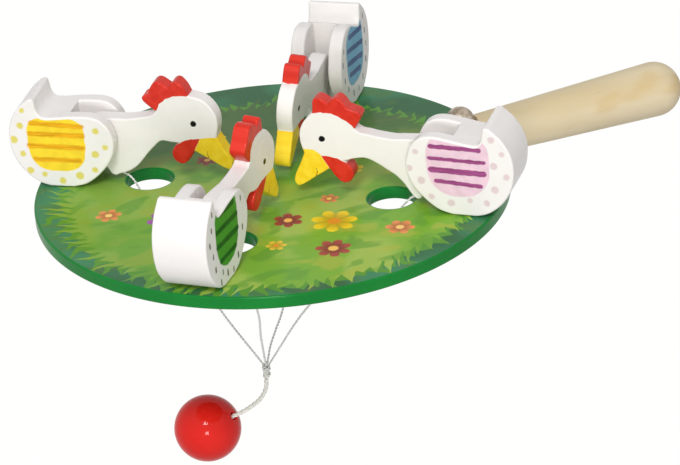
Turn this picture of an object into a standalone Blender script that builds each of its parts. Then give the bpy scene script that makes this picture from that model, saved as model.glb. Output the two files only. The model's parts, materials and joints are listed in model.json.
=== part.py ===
"""Pecking chickens: a round wooden paddle with four birds, worked by a ball on strings.

Metres, +Z up. The origin is on the handle's axis where a hand grips it, and the handle
points along +X. The board lies level, its middle plane at the height of that axis.
Each bird stands near the rim and faces the board's centre. Its neck turns on a pin
between two body plates, and a string runs from the neck's heel through a hole in the
board to a knot underneath, where a short cord carries the ball.
"""

import math
from typing import NamedTuple

import bmesh
import bpy
from mathutils import Matrix, Vector

MM = 0.001
GAP = 0.3 * MM

# Board
BOARD_RADIUS = 85 * MM
BOARD_THICKNESS = 4.8 * MM
BOARD_EDGE = 0.8 * MM
HOLE_RADIUS = 8.4 * MM
HOLE_DISTANCE = 45.4 * MM

# Handle, measured from the board's centre
GRIP_DISTANCE = 125 * MM
HANDLE_START = 67 * MM
HANDLE_END = 164.8 * MM
HANDLE_SLIM_RADIUS = 7.6 * MM
HANDLE_FAT_RADIUS = 10.2 * MM
HANDLE_NOSE_LENGTH = 5 * MM
HANDLE_END_LENGTH = 10.3 * MM

# Dome-headed screw that closes the handle's jaws on the board
SCREW_DISTANCE = 75 * MM
SCREW_SEAT_HEIGHT = 6.0 * MM
SCREW_DOME_RADIUS = 5.3 * MM
SCREW_DOME_RIM = 1.4 * MM
SCREW_SHANK_RADIUS = 1.8 * MM
SCREW_SHANK_BOTTOM = -5.2 * MM
SCREW_TIP = 1 * MM
SCREW_SEAT_MARGIN = 1 * MM

# Bird: two plates with a tail block and the neck between them
PLATE_THICKNESS = 5.2 * MM
SLOT_WIDTH = 9.2 * MM
NECK_THICKNESS = 6.0 * MM
PAINTED_EDGE = 0.6 * MM
BLOCK_FRONT = 70.8
BLOCK_BOTTOM = 0.3
BLOCK_STEP = 1.0
PIN_RADIUS = 1.5 * MM
PIN_DEPTH = 4.0 * MM
PIVOT_OUT = 59.0
PIVOT_UP = 19.0
NECK_END_RADIUS = 6.0
BODY_SCREW_OUT = 76.6
BODY_SCREW_RADIUS = 1.4 * MM
BODY_SCREW_LENGTH = 13 * MM
BODY_SCREW_HEAD_RADIUS = 2.8 * MM
BODY_SCREW_HEAD_HEIGHT = 2.0 * MM
BODY_SCREW_HEAD_RIM = 0.3 * MM
BODY_SCREW_TIP = 2 * MM

# Strings, cord and ball
STRING_DIAMETER = 0.9 * MM
STRING_JOIN_DEPTH = 2 * MM
CORD_DIAMETER = 1.7 * MM
STRING_KNOT_RADIUS = 1.6 * MM
CORD_LOOP_RADIUS = 1.5 * MM
BALL_RADIUS = 12.5 * MM
BALL_BORE_RADIUS = 1.5 * MM
BALL_KNOT_RADIUS = 2.2 * MM
BALL_KNOT_DISTANCE = 9.3 * MM
BALL_RECESS_RADIUS = 2.7 * MM

# Where a string is tied to the neck's heel and where it passes the edge of its hole,
# in a bird's own millimetres: out from the board's centre, up from the board's top
HEEL_TIE = (54.9, 2.15)
HOLE_EDGE_PASS = (52.4, 0.4)

BOARD_CENTRE = Vector((-GRIP_DISTANCE, 0, 0))
BOARD_TOP = BOARD_THICKNESS / 2

# Under the board, in millimetres from its centre
STRING_KNOT = (-7.4, 2.9, -72.2)
CORD_LOOP = (-7.0, 4.0, -75.6)
BALL_CENTRE = (-25.4, 22.0, -101.6)
CORD_BENDS = [
    (-7.3, 4.8, -78.3),
    (-7.3, 5.3, -81.4),
    (-8.1, 6.5, -84.6),
    (-9.6, 8.0, -87.6),
    (-11.9, 10.3, -90.6),
    (-14.4, 12.5, -93.1),
]

SHARP = True

# Side view of a body plate in millimetres: distance from the board's centre, height
# above the board. Points marked SHARP are corners and the rest lie on smooth curves.
# It runs down the back and round to the breast, over the shoulder and up the tail.
BACK_TO_BREAST = [
    (84.9, 34.4, SHARP),
    (89.4, 30.2),
    (92.6, 24.4),
    (93.4, 18.0),
    (92.0, 11.0),
    (88.2, 5.2),
    (83.4, 1.5),
    (79.6, BLOCK_BOTTOM, SHARP),
    (BLOCK_FRONT, BLOCK_BOTTOM, SHARP),
    (66.0, 1.7),
    (60.8, 5.6),
    (56.1, 11.6),
    (54.4, 17.8),
]
SHOULDER = [
    (55.7, 23.2),
    (58.9, 26.9),
    (62.6, 28.1),
    (66.8, 28.2),
    (BLOCK_FRONT, 28.0),
    (78.0, 27.3),
]
FULL_SHOULDER = [
    (55.4, 22.8),
    (57.4, 26.8),
    (60.4, 29.1),
    (64.6, 29.8),
    (BLOCK_FRONT, 28.9),
    (78.0, 27.6),
]
HIGH_SHOULDER = [
    (56.0, 24.0),
    (58.6, 29.2),
    (62.6, 32.0),
    (66.8, 32.5),
    (BLOCK_FRONT, 31.7),
    (77.2, 28.8),
]
TAIL = [
    (80.6, 27.6),
    (81.7, 28.8),
    (82.3, 30.6),
    (82.6, 32.6),
    (82.9, 34.4, SHARP),
]

# Side view of the neck board in the same measures, in four stretches: forward along the
# neck's top, over the comb, down the face and round the wattle, then back to the heel.
NECK_TOP = [
    (50.2, 24.5),
    (48.0, 24.3),
    (42.0, 24.9),
    (38.2, 25.6),
]
COMB = [
    (36.0, 27.2, SHARP),
    (39.2, 30.3),
    (40.5, 32.3),
    (40.0, 33.3),
    (37.9, 33.9, SHARP),
    (36.6, 36.4),
    (35.0, 38.3),
    (33.1, 38.7),
    (29.6, 36.1, SHARP),
    (28.4, 37.9),
    (26.4, 38.7),
    (24.9, 37.4),
    (23.6, 35.2),
    (22.9, 32.9, SHARP),
    (20.4, 32.3),
]
FORWARD_COMB = [
    (36.0, 25.9),
    (34.0, 27.2, SHARP),
    (35.8, 30.2),
    (36.7, 32.4),
    (36.0, 33.5),
    (34.0, 34.1),
    (31.5, 35.0, SHARP),
    (30.2, 37.2),
    (28.1, 38.6),
    (26.4, 37.7),
    (24.9, 36.2, SHARP),
    (22.8, 37.6),
    (20.9, 38.1),
    (19.4, 37.2),
    (19.1, 34.6),
    (18.9, 32.3, SHARP),
]
MIDDLE_COMB = [
    (36.0, 27.2, SHARP),
    (38.2, 30.3),
    (39.4, 32.3),
    (38.8, 33.3),
    (36.8, 33.9, SHARP),
    (35.2, 36.2),
    (33.6, 37.9),
    (31.5, 38.3),
    (28.2, 35.9, SHARP),
    (26.8, 37.6),
    (24.8, 38.4),
    (23.3, 37.1),
    (22.1, 34.9),
    (21.3, 32.4, SHARP),
    (19.4, 32.0),
]
TALL_COMB = [
    (36.4, 26.0),
    (35.0, 27.2, SHARP),
    (37.6, 29.6),
    (39.3, 31.9),
    (38.9, 33.6),
    (37.5, 35.2),
    (36.5, 37.6),
    (35.1, 39.8),
    (33.0, 40.6),
    (30.6, 40.0),
    (28.4, 38.4, SHARP),
    (27.6, 40.0),
    (26.3, 40.7),
    (25.1, 39.9),
    (24.3, 38.0),
    (24.0, 34.9, SHARP),
    (21.8, 34.1),
    (19.6, 32.8),
]
FACE = [
    (17.4, 30.8),
    (15.1, 28.0),
    (13.8, 24.6),
    (13.8, 21.0),
    (15.0, 16.6, SHARP),
    (13.2, 12.2),
    (11.1, 7.6),
    (10.9, 5.0),
    (12.4, 3.7),
    (18.9, 7.8),
    (24.1, 11.3, SHARP),
    (26.2, 8.3),
    (29.0, 6.2),
    (31.6, 7.1),
    (32.8, 9.7),
    (31.9, 12.4),
    (29.6, 14.5, SHARP),
]
UNDERSIDE = [
    (32.8, 15.0),
    (35.1, 15.5),
    (36.8, 15.1),
    (38.6, 13.6),
    (41.6, 10.9),
    (44.6, 7.7),
    (47.6, 5.0),
    (50.8, 3.3),
    (54.2, 2.4),
    (55.7, 1.8),
    (57.2, 2.5),
]
FULL_UNDERSIDE = [
    (33.0, 15.7),
    (36.7, 16.3),
    (38.9, 15.9),
    (42.0, 14.4),
    (45.0, 12.5),
    (48.1, 10.5),
    (51.0, 7.6),
    (54.0, 3.2),
    (55.7, 1.8),
    (57.2, 2.5),
]


class Bird(NamedTuple):
    """How one bird stands: angles in degrees, distances in millimetres."""

    around: float  # round the board from the handle
    sideways: float  # its middle plane off the board's centre
    body_out: float  # its body further out than drawn
    neck_out: float  # its pin and neck further out than drawn
    neck_across: float  # the neck off the middle of its slot
    neck_lift: float  # the neck raised from the drawn outline
    neck_yaw: float  # the neck askew in its slot
    neck_lean: float  # the neck tipped sideways in its slot
    string_bends: list  # the string's route under the board, from its centre
    shoulder: list = SHOULDER
    comb: list = COMB
    underside: list = UNDERSIDE


BIRDS = {
    "pink": Bird(
        -42.2, -3.1, 0, 0.4, 0, 0.1, 0.9, -1.3, [(5.4, -8.8, -45.8)],
        FULL_SHOULDER, FORWARD_COMB, FULL_UNDERSIDE,
    ),
    "blue": Bird(
        50, -2.5, -1.2, -2.5, 0, -2, 0, 5, [(5, 13.3, -56.3), (-0.2, 8.9, -61.4), (-3.9, 5.9, -65.4)],
        HIGH_SHOULDER, MIDDLE_COMB,
    ),
    "yellow": Bird(142.3, -0.2, 0, 2.6, 0, 4.3, -2.5, -1.5, [(-19.3, 13, -49.2)]),
    "green": Bird(
        226, 1.9, -3, 0.2, 0.4, -1.8, -3.2, -3.2, [(-18.6, -22, -33), (-13, -9.1, -52.6)],
        comb=TALL_COMB,
    ),
}

WHITE = (0.87, 0.86, 0.83)
GREEN = (0.02, 0.22, 0.06)
WOOD = (0.72, 0.55, 0.34)
BRASS = (0.35, 0.26, 0.14)
STEEL = (0.55, 0.55, 0.55)
COTTON = (0.85, 0.84, 0.80)
RED = (0.75, 0.02, 0.01)


def clear_scene():
    for old in list(bpy.data.objects):
        bpy.data.objects.remove(old, do_unlink=True)


def new_collection(name):
    made = bpy.data.collections.new(name)
    bpy.context.scene.collection.children.link(made)
    return made


def paint(name, colour, roughness, metallic=0.0):
    made = bpy.data.materials.new(name)
    made.use_nodes = True
    shader = made.node_tree.nodes["Principled BSDF"]
    shader.inputs["Base Color"].default_value = (*colour, 1.0)
    shader.inputs["Roughness"].default_value = roughness
    shader.inputs["Metallic"].default_value = metallic
    return made


def finish(piece, colour, roughness=0.35, metallic=0.0):
    """Give a piece its own material and put it with the toy's parts."""
    piece.data.materials.clear()
    piece.data.materials.append(paint(piece.name + "_finish", colour, roughness, metallic))
    parts.objects.link(piece)
    return piece


def smooth_points(points, step, closed=False):
    """Points every step or so along a curve through the given ones; SHARP ones are corners."""
    spots = [Vector(point[:2]) for point in points]
    sharp = [len(point) > 2 for point in points]
    count = len(spots)
    tangents = []
    for index in range(count):
        before = spots[index - 1] if closed or index else spots[index]
        after = spots[(index + 1) % count] if closed or index < count - 1 else spots[index]
        tangents.append((after - before).normalized())
    path = []
    for index in range(count if closed else count - 1):
        start, end = spots[index], spots[(index + 1) % count]
        chord = end - start
        leave = chord if sharp[index] else tangents[index] * chord.length
        arrive = chord if sharp[(index + 1) % count] else tangents[(index + 1) % count] * chord.length
        straight = leave == chord and arrive == chord
        pieces = 1 if straight else max(1, round(chord.length / step))
        for piece in range(pieces):
            t = piece / pieces
            path.append(
                start * (2 * t**3 - 3 * t**2 + 1)
                + leave * (t**3 - 2 * t**2 + t)
                + end * (3 * t**2 - 2 * t**3)
                + arrive * (t**3 - t**2)
            )
    if not closed:
        path.append(spots[-1])
    return path


def smooth_route(points, step):
    """Points every step or so along one smooth curve in space through the given ones."""
    spots = [Vector(point) for point in points]
    last = len(spots) - 1
    path = []
    for index in range(last):
        start, end = spots[index], spots[index + 1]
        length = (end - start).length
        leave = (end - spots[max(index - 1, 0)]).normalized() * length
        arrive = (spots[min(index + 2, last)] - start).normalized() * length
        pieces = max(1, round(length / step))
        for piece in range(pieces):
            t = piece / pieces
            path.append(
                start * (2 * t**3 - 3 * t**2 + 1)
                + leave * (t**3 - 2 * t**2 + t)
                + end * (3 * t**2 - 2 * t**3)
                + arrive * (t**3 - t**2)
            )
    path.append(spots[-1])
    return path


def poly_curve(name, points, dimensions, cyclic=False):
    data = bpy.data.curves.new(name, "CURVE")
    data.dimensions = dimensions
    spline = data.splines.new("POLY")
    spline.points.add(len(points) - 1)
    for spot, point in zip(spline.points, points):
        spot.co = (*point, *[0.0] * (3 - len(point)), 1.0)
    spline.use_cyclic_u = cyclic
    return bpy.data.objects.new(name, data)


def to_mesh(curve):
    """The curve's solid as a mesh object of the same name, with its caps welded."""
    scene = bpy.context.scene.collection
    scene.objects.link(curve)
    bpy.context.view_layer.update()
    evaluated = curve.evaluated_get(bpy.context.evaluated_depsgraph_get())
    mesh = bpy.data.meshes.new_from_object(evaluated)
    place, name = curve.matrix_world.copy(), curve.name
    bpy.data.objects.remove(curve, do_unlink=True)
    weld = bmesh.new()
    weld.from_mesh(mesh)
    bmesh.ops.remove_doubles(weld, verts=weld.verts, dist=0.00001)
    weld.to_mesh(mesh)
    weld.free()
    solid = bpy.data.objects.new(name, mesh)
    solid.matrix_world = place
    return solid


def flat_board(name, outline, thickness):
    """A board cut to an outline of (out, up) in millimetres, its middle plane at y = 0."""
    curve = poly_curve(name, [point * MM for point in outline], "2D", cyclic=True)
    curve.data.fill_mode = "BOTH"
    curve.data.extrude = thickness / 2
    board = to_mesh(curve)
    shape = bmesh.new()
    shape.from_mesh(board.data)
    shape.normal_update()
    faces = [face for face in shape.faces if abs(face.normal.z) > 0.99]
    bmesh.ops.dissolve_faces(shape, faces=faces)
    bmesh.ops.recalc_face_normals(shape, faces=shape.faces)
    shape.transform(Matrix.Rotation(math.pi / 2, 4, "X"))
    shape.to_mesh(board.data)
    shape.free()
    return board


def soften(piece, width, segments=1):
    """Round the edges of a piece with a Bevel."""
    bevel = piece.modifiers.new("edges", "BEVEL")
    bevel.width = width
    bevel.segments = segments
    bevel.limit_method = "ANGLE"
    bevel.angle_limit = math.radians(40)


def turned(name, profile, steps, closed=False):
    """A shape turned about Z from (radius, height) points that run from its top down."""
    mesh = bpy.data.meshes.new(name)
    edges = [(index, index + 1) for index in range(len(profile) - 1)]
    if closed:
        edges.append((len(profile) - 1, 0))
    mesh.from_pydata([(radius, 0, height) for radius, height in profile], edges, [])
    piece = bpy.data.objects.new(name, mesh)
    screw = piece.modifiers.new("turn", "SCREW")
    screw.steps = steps
    screw.render_steps = steps
    screw.use_merge_vertices = True
    screw.merge_threshold = 0.00001
    screw.use_smooth_shade = True
    return piece


def cylinder(name, radius, bottom, top, sides=24):
    mesh = bpy.data.meshes.new(name)
    shape = bmesh.new()
    lift = Matrix.Translation((0, 0, (bottom + top) / 2))
    bmesh.ops.create_cone(
        shape,
        cap_ends=True,
        segments=sides,
        radius1=radius,
        radius2=radius,
        depth=top - bottom,
        matrix=lift,
    )
    shape.to_mesh(mesh)
    shape.free()
    mesh.shade_smooth()
    mesh.set_sharp_from_angle(angle=math.radians(40))
    return bpy.data.objects.new(name, mesh)


def ball_shape(name, radius, rings=8, sides=12):
    mesh = bpy.data.meshes.new(name)
    shape = bmesh.new()
    bmesh.ops.create_uvsphere(shape, u_segments=sides, v_segments=rings, radius=radius)
    shape.to_mesh(mesh)
    shape.free()
    mesh.shade_smooth()
    return bpy.data.objects.new(name, mesh)


def cut(piece, cutter):
    """Cut a piece with a cutter, which stays out of sight in its own collection."""
    if cutter.name not in cutters.objects:
        cutters.objects.link(cutter)
        cutter.hide_render = True
        cutter.display_type = "WIRE"
    boolean = piece.modifiers.new("cut", "BOOLEAN")
    boolean.operation = "DIFFERENCE"
    boolean.solver = "EXACT"
    boolean.object = cutter


def tube(name, route, diameter, step):
    """A cord on a smooth curve through the route, with filled ends."""
    curve = poly_curve(name, smooth_route(route, step), "3D")
    curve.data.bevel_depth = diameter / 2
    curve.data.bevel_resolution = 2
    curve.data.use_fill_caps = True
    return curve


def bird_frame(bird):
    """From a bird's own axes (out from the centre, across, up from the board) to the toy's."""
    return (
        Matrix.Translation(BOARD_CENTRE + Vector((0, 0, BOARD_TOP)))
        @ Matrix.Rotation(math.radians(bird.around), 4, "Z")
        @ Matrix.Translation((0, bird.sideways * MM, 0))
    )


def pin_frame(bird):
    """A bird's own axes, with the origin on the pin in its body."""
    return bird_frame(bird) @ Matrix.Translation(((PIVOT_OUT + bird.neck_out) * MM, 0, PIVOT_UP * MM))


def neck_frame(bird):
    """A neck's own axes, with the origin on its pin, as it stands in its slot."""
    lift = Matrix.Rotation(math.radians(bird.neck_lift), 4, "Y")
    yaw = Matrix.Rotation(math.radians(bird.neck_yaw), 4, "Z")
    lean = Matrix.Rotation(math.radians(bird.neck_lean), 4, "X")
    across = Matrix.Translation((0, bird.neck_across * MM, 0))
    return pin_frame(bird) @ across @ lift @ yaw @ lean


def body_frame(bird):
    """A bird's own axes, moved out or in with its body."""
    return bird_frame(bird) @ Matrix.Translation((bird.body_out * MM, 0, 0))


def under_board(point):
    return BOARD_CENTRE + Vector(point) * MM


def string_route(bird):
    """A string's own points, from the neck's heel past the hole's edge to the knot."""
    out, up = HEEL_TIE
    tie = neck_frame(bird) @ Vector(((out - PIVOT_OUT) * MM, 0, (up - PIVOT_UP) * MM))
    out, up = HOLE_EDGE_PASS
    edge = bird_frame(bird) @ Vector((out * MM, 0, up * MM))
    tie += (edge - tie).normalized() * GAP
    bends = [under_board(bend) for bend in bird.string_bends]
    knot = under_board(STRING_KNOT)
    knot += (bends[-1] - knot).normalized() * (STRING_KNOT_RADIUS + GAP)
    return [tie, edge, *bends, knot]


def make_board():
    board = cylinder("board", BOARD_RADIUS, -BOARD_THICKNESS / 2, BOARD_THICKNESS / 2, sides=96)
    board.location = BOARD_CENTRE
    soften(board, BOARD_EDGE, segments=2)
    for name, bird in BIRDS.items():
        string_hole = cylinder(
            name + "_string_hole", HOLE_RADIUS, -BOARD_THICKNESS * 2, BOARD_THICKNESS, sides=32
        )
        string_hole.matrix_world = bird_frame(bird) @ Matrix.Translation((HOLE_DISTANCE, 0, 0))
        cut(board, string_hole)
        screw_hole = turned(
            name + "_screw_hole",
            [
                (0, BOARD_TOP),
                (BODY_SCREW_RADIUS + GAP, BOARD_TOP),
                (BODY_SCREW_RADIUS + GAP, BODY_SCREW_HEAD_HEIGHT - BOARD_THICKNESS + GAP),
                (BODY_SCREW_HEAD_RADIUS + GAP, BODY_SCREW_HEAD_RIM - BOARD_THICKNESS + GAP),
                (BODY_SCREW_HEAD_RADIUS + GAP, -BOARD_THICKNESS - GAP),
                (0, -BOARD_THICKNESS - GAP),
            ],
            steps=16,
        )
        screw_hole.matrix_world = body_frame(bird) @ Matrix.Translation((BODY_SCREW_OUT * MM, 0, 0))
        cut(board, screw_hole)
    bolt_hole = cylinder("handle_screw_hole", SCREW_SHANK_RADIUS + GAP, -BOARD_THICKNESS, BOARD_THICKNESS)
    bolt_hole.location = BOARD_CENTRE + Vector((SCREW_DISTANCE, 0, 0))
    cut(board, bolt_hole)
    finish(board, GREEN, roughness=0.25)


def make_handle():
    end_points = 6
    end = [
        (
            HANDLE_FAT_RADIUS * math.sin(math.pi / 2 * index / end_points),
            HANDLE_END - HANDLE_END_LENGTH * (1 - math.cos(math.pi / 2 * index / end_points)),
        )
        for index in range(end_points)
    ]
    body_bottom = HANDLE_START + HANDLE_NOSE_LENGTH
    body = [(HANDLE_FAT_RADIUS, HANDLE_END - HANDLE_END_LENGTH), (HANDLE_SLIM_RADIUS, body_bottom)]
    nose_points = 4
    nose = [
        (
            HANDLE_SLIM_RADIUS * math.cos(math.pi / 2 * index / nose_points),
            body_bottom - HANDLE_NOSE_LENGTH * math.sin(math.pi / 2 * index / nose_points),
        )
        for index in range(1, nose_points)
    ]
    handle = turned("handle", end + body + nose + [(0, HANDLE_START)], steps=24)
    handle.matrix_world = Matrix.Translation(BOARD_CENTRE) @ Matrix.Rotation(math.pi / 2, 4, "Y")
    jaw_gap = cylinder(
        "jaw_gap", BOARD_RADIUS + GAP, -BOARD_THICKNESS / 2 - GAP, BOARD_THICKNESS / 2 + GAP, sides=96
    )
    jaw_gap.location = BOARD_CENTRE
    cut(handle, jaw_gap)
    seat = cylinder(
        "screw_seat", SCREW_DOME_RADIUS + SCREW_SEAT_MARGIN, SCREW_SEAT_HEIGHT, HANDLE_FAT_RADIUS
    )
    seat.location = BOARD_CENTRE + Vector((SCREW_DISTANCE, 0, 0))
    cut(handle, seat)
    shank_hole = cylinder(
        "shank_hole", SCREW_SHANK_RADIUS + GAP, SCREW_SHANK_BOTTOM - GAP, HANDLE_FAT_RADIUS
    )
    shank_hole.location = BOARD_CENTRE + Vector((SCREW_DISTANCE, 0, 0))
    cut(handle, shank_hole)
    finish(handle, WOOD, roughness=0.45)

    head_bottom = SCREW_SEAT_HEIGHT + GAP
    dome_points = 6
    dome = [
        (
            SCREW_DOME_RADIUS * math.sin(math.pi / 2 * index / dome_points),
            head_bottom + SCREW_DOME_RIM + SCREW_DOME_RADIUS * math.cos(math.pi / 2 * index / dome_points),
        )
        for index in range(dome_points + 1)
    ]
    shank = [
        (SCREW_DOME_RADIUS, head_bottom),
        (SCREW_SHANK_RADIUS, head_bottom),
        (SCREW_SHANK_RADIUS, SCREW_SHANK_BOTTOM + SCREW_TIP),
        (0, SCREW_SHANK_BOTTOM),
    ]
    screw = turned("handle_screw", dome + shank, steps=20)
    screw.location = BOARD_CENTRE + Vector((SCREW_DISTANCE, 0, 0))
    finish(screw, BRASS, roughness=0.3, metallic=1.0)


def make_body(name, bird):
    """Two plates, the tail block between them, the pin across them and the screw below."""
    frame = body_frame(bird)
    outline = smooth_points(BACK_TO_BREAST + bird.shoulder + TAIL, step=2.8, closed=True)
    block_top = next(point for point in bird.shoulder if point[0] == BLOCK_FRONT)
    plate_middle = (SLOT_WIDTH + PLATE_THICKNESS) / 2
    pin_length = SLOT_WIDTH + 2 * PIN_DEPTH
    across = pin_frame(bird) @ Matrix.Rotation(math.pi / 2, 4, "X")

    pin_hole = cylinder(
        name + "_pin_hole", PIN_RADIUS + GAP, -pin_length / 2 - GAP, pin_length / 2 + GAP, sides=16
    )
    pin_hole.matrix_world = across
    for side, offset in (("left", -plate_middle), ("right", plate_middle)):
        plate = flat_board(f"{name}_plate_{side}", outline, PLATE_THICKNESS)
        plate.matrix_world = frame @ Matrix.Translation((0, offset, 0))
        soften(plate, PAINTED_EDGE)
        cut(plate, pin_hole)
        finish(plate, WHITE)

    behind = [point for point in outline if point.x > BLOCK_FRONT + BLOCK_STEP]
    down_the_back = next(
        index for index, point in enumerate(outline) if point.x < BLOCK_FRONT + BLOCK_STEP
    )
    block_outline = (
        behind[:down_the_back]
        + [Vector((BLOCK_FRONT, BLOCK_BOTTOM)), Vector(block_top)]
        + behind[down_the_back:]
    )
    block = flat_board(f"{name}_tail_block", block_outline, SLOT_WIDTH - 2 * GAP)
    block.matrix_world = frame
    hole_top = BODY_SCREW_LENGTH - BOARD_THICKNESS + GAP
    block_hole = cylinder(name + "_block_hole", BODY_SCREW_RADIUS + GAP, -hole_top, hole_top, sides=16)
    block_hole.matrix_world = frame @ Matrix.Translation((BODY_SCREW_OUT * MM, 0, 0))
    cut(block, block_hole)
    finish(block, WHITE)

    pin = cylinder(f"{name}_pin", PIN_RADIUS, -pin_length / 2, pin_length / 2, sides=16)
    pin.matrix_world = across
    finish(pin, STEEL, roughness=0.3, metallic=1.0)

    head = -BOARD_THICKNESS
    screw = turned(
        f"{name}_screw",
        [
            (0, head + BODY_SCREW_LENGTH),
            (BODY_SCREW_RADIUS, head + BODY_SCREW_LENGTH - BODY_SCREW_TIP),
            (BODY_SCREW_RADIUS, head + BODY_SCREW_HEAD_HEIGHT),
            (BODY_SCREW_HEAD_RADIUS, head + BODY_SCREW_HEAD_RIM),
            (BODY_SCREW_HEAD_RADIUS, head),
            (0, head),
        ],
        steps=16,
    )
    screw.matrix_world = frame @ Matrix.Translation((BODY_SCREW_OUT * MM, 0, 0))
    finish(screw, STEEL, roughness=0.3, metallic=1.0)


def make_neck(name, bird):
    """The neck board, with its origin on the pin that it turns on."""
    arc_points = 9
    arc_start, arc_end = math.radians(-25), math.radians(82)
    centre = Vector((PIVOT_OUT, PIVOT_UP))
    arc = []
    for index in range(arc_points):
        angle = arc_start + (arc_end - arc_start) * index / (arc_points - 1)
        arc.append(centre + NECK_END_RADIUS * Vector((math.cos(angle), math.sin(angle))))
    outline = smooth_points(NECK_TOP + bird.comb + FACE + bird.underside, step=1.9) + arc
    neck = flat_board(name + "_neck", [point - centre for point in outline], NECK_THICKNESS)
    neck.matrix_world = neck_frame(bird)
    soften(neck, PAINTED_EDGE)
    hole = cylinder(name + "_neck_hole", PIN_RADIUS + GAP, -NECK_THICKNESS, NECK_THICKNESS, sides=16)
    hole.matrix_world = pin_frame(bird) @ Matrix.Rotation(math.pi / 2, 4, "X")
    cut(neck, hole)
    finish(neck, WHITE)


def make_string(name, bird):
    """The string in two stretches, which meet a little below the board."""
    tie, edge, *bends = string_route(bird)
    drop = (edge.z + BOARD_TOP + STRING_JOIN_DEPTH) / (edge.z - bends[0].z)
    join = edge.lerp(bends[0], drop)
    upper = tube(name + "_string_upper", [tie, edge, join], STRING_DIAMETER, 2.4 * MM)
    finish(upper, COTTON, roughness=0.9)
    join += (bends[0] - join).normalized() * GAP
    lower = tube(name + "_string_lower", [join, *bends], STRING_DIAMETER, 2.7 * MM)
    finish(lower, COTTON, roughness=0.9)


def make_knots():
    knot = ball_shape("string_knot", STRING_KNOT_RADIUS)
    knot.location = under_board(STRING_KNOT)
    finish(knot, COTTON, roughness=0.9)
    loop = ball_shape("cord_loop", CORD_LOOP_RADIUS)
    loop.location = under_board(CORD_LOOP)
    finish(loop, COTTON, roughness=0.9)


def make_ball():
    """The ball on its cord, which runs through the bore to a knot in a recess behind."""
    centre = under_board(BALL_CENTRE)
    bends = [under_board(bend) for bend in CORD_BENDS]
    way_out = (bends[-1] - centre).normalized()
    start = under_board(CORD_LOOP)
    start += (bends[0] - start).normalized() * (CORD_LOOP_RADIUS + GAP)
    end_distance = BALL_KNOT_DISTANCE - BALL_KNOT_RADIUS - GAP
    through = [centre + way_out * BALL_RADIUS, centre, centre - way_out * end_distance]
    cord = tube("main_cord", [start, *bends[1:], *through], CORD_DIAMETER, 3.4 * MM)
    finish(cord, COTTON, roughness=0.9)

    rings = 12
    first = math.asin(BALL_BORE_RADIUS / BALL_RADIUS)
    last = math.pi - math.asin(BALL_RECESS_RADIUS / BALL_RADIUS)
    profile = []
    for index in range(rings + 1):
        angle = first + (last - first) * index / rings
        profile.append((BALL_RADIUS * math.sin(angle), BALL_RADIUS * math.cos(angle)))
    profile += [(BALL_RECESS_RADIUS, -end_distance), (BALL_BORE_RADIUS, -end_distance)]
    ball = turned("ball", profile, steps=22, closed=True)
    ball.location = centre
    ball.rotation_mode = "QUATERNION"
    ball.rotation_quaternion = way_out.to_track_quat("Z", "Y")
    finish(ball, RED, roughness=0.15)

    knot = ball_shape("ball_knot", BALL_KNOT_RADIUS)
    knot.location = centre - way_out * BALL_KNOT_DISTANCE
    finish(knot, COTTON, roughness=0.9)


clear_scene()
parts = new_collection("pecking_chickens")
cutters = new_collection("cutters")
make_board()
make_handle()
for bird_name, one_bird in BIRDS.items():
    make_body(bird_name, one_bird)
    make_neck(bird_name, one_bird)
    make_string(bird_name, one_bird)
make_knots()
make_ball()
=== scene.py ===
# %% [markdown]
# # Pecking chickens on a paddle
# Four wooden hens stand round a painted board. Each neck turns on a pin inside the
# hen's body, and a string runs from its heel through a hole to a ball that swings
# below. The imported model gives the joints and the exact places. This script gives
# every part its finished shape and its paint, in the same metres and axes.

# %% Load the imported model
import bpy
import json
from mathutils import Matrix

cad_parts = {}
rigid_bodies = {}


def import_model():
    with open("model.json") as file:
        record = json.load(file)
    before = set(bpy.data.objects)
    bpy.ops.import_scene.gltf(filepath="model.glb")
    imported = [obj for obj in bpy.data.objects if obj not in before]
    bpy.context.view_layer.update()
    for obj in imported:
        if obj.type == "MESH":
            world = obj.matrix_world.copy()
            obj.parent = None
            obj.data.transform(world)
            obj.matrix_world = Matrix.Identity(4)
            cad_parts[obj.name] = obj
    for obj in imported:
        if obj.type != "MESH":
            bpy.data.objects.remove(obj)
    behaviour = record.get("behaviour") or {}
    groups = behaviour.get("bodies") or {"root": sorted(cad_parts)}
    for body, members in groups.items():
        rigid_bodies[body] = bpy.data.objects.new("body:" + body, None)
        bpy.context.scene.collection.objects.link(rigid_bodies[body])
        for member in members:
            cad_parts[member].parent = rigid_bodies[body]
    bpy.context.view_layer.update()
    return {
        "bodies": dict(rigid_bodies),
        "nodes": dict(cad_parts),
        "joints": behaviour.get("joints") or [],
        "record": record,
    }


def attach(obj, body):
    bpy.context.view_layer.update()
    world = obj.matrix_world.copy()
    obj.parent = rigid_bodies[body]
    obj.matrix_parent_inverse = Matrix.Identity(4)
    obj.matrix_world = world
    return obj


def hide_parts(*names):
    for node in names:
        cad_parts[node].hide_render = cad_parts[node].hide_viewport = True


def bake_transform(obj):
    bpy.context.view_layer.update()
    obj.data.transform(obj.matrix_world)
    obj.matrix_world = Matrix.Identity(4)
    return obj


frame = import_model()

import json
import math
from collections import namedtuple

import bmesh
import bpy
from mathutils import Matrix, Vector

scene = bpy.context.scene
MM = 0.001

# %% [markdown]
# ## The measures
# A hen is described in its own millimetres: out from the board's centre, across, and
# up from the board's top. The table says how far round the board each one stands and
# how far its pin, neck and body are from where they were drawn, because they were
# glued and pinned by hand. These are the measures of the solid model.

# %% Where the hens stand
BOARD_CENTRE = Vector((-0.125, 0, 0))
BOARD_RADIUS = 85 * MM
BOARD_THICKNESS = 4.8 * MM
HOLE_RADIUS = 8.4 * MM
HOLE_DISTANCE = 45.4 * MM
PIVOT_OUT, PIVOT_UP = 59.0, 19.0

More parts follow.
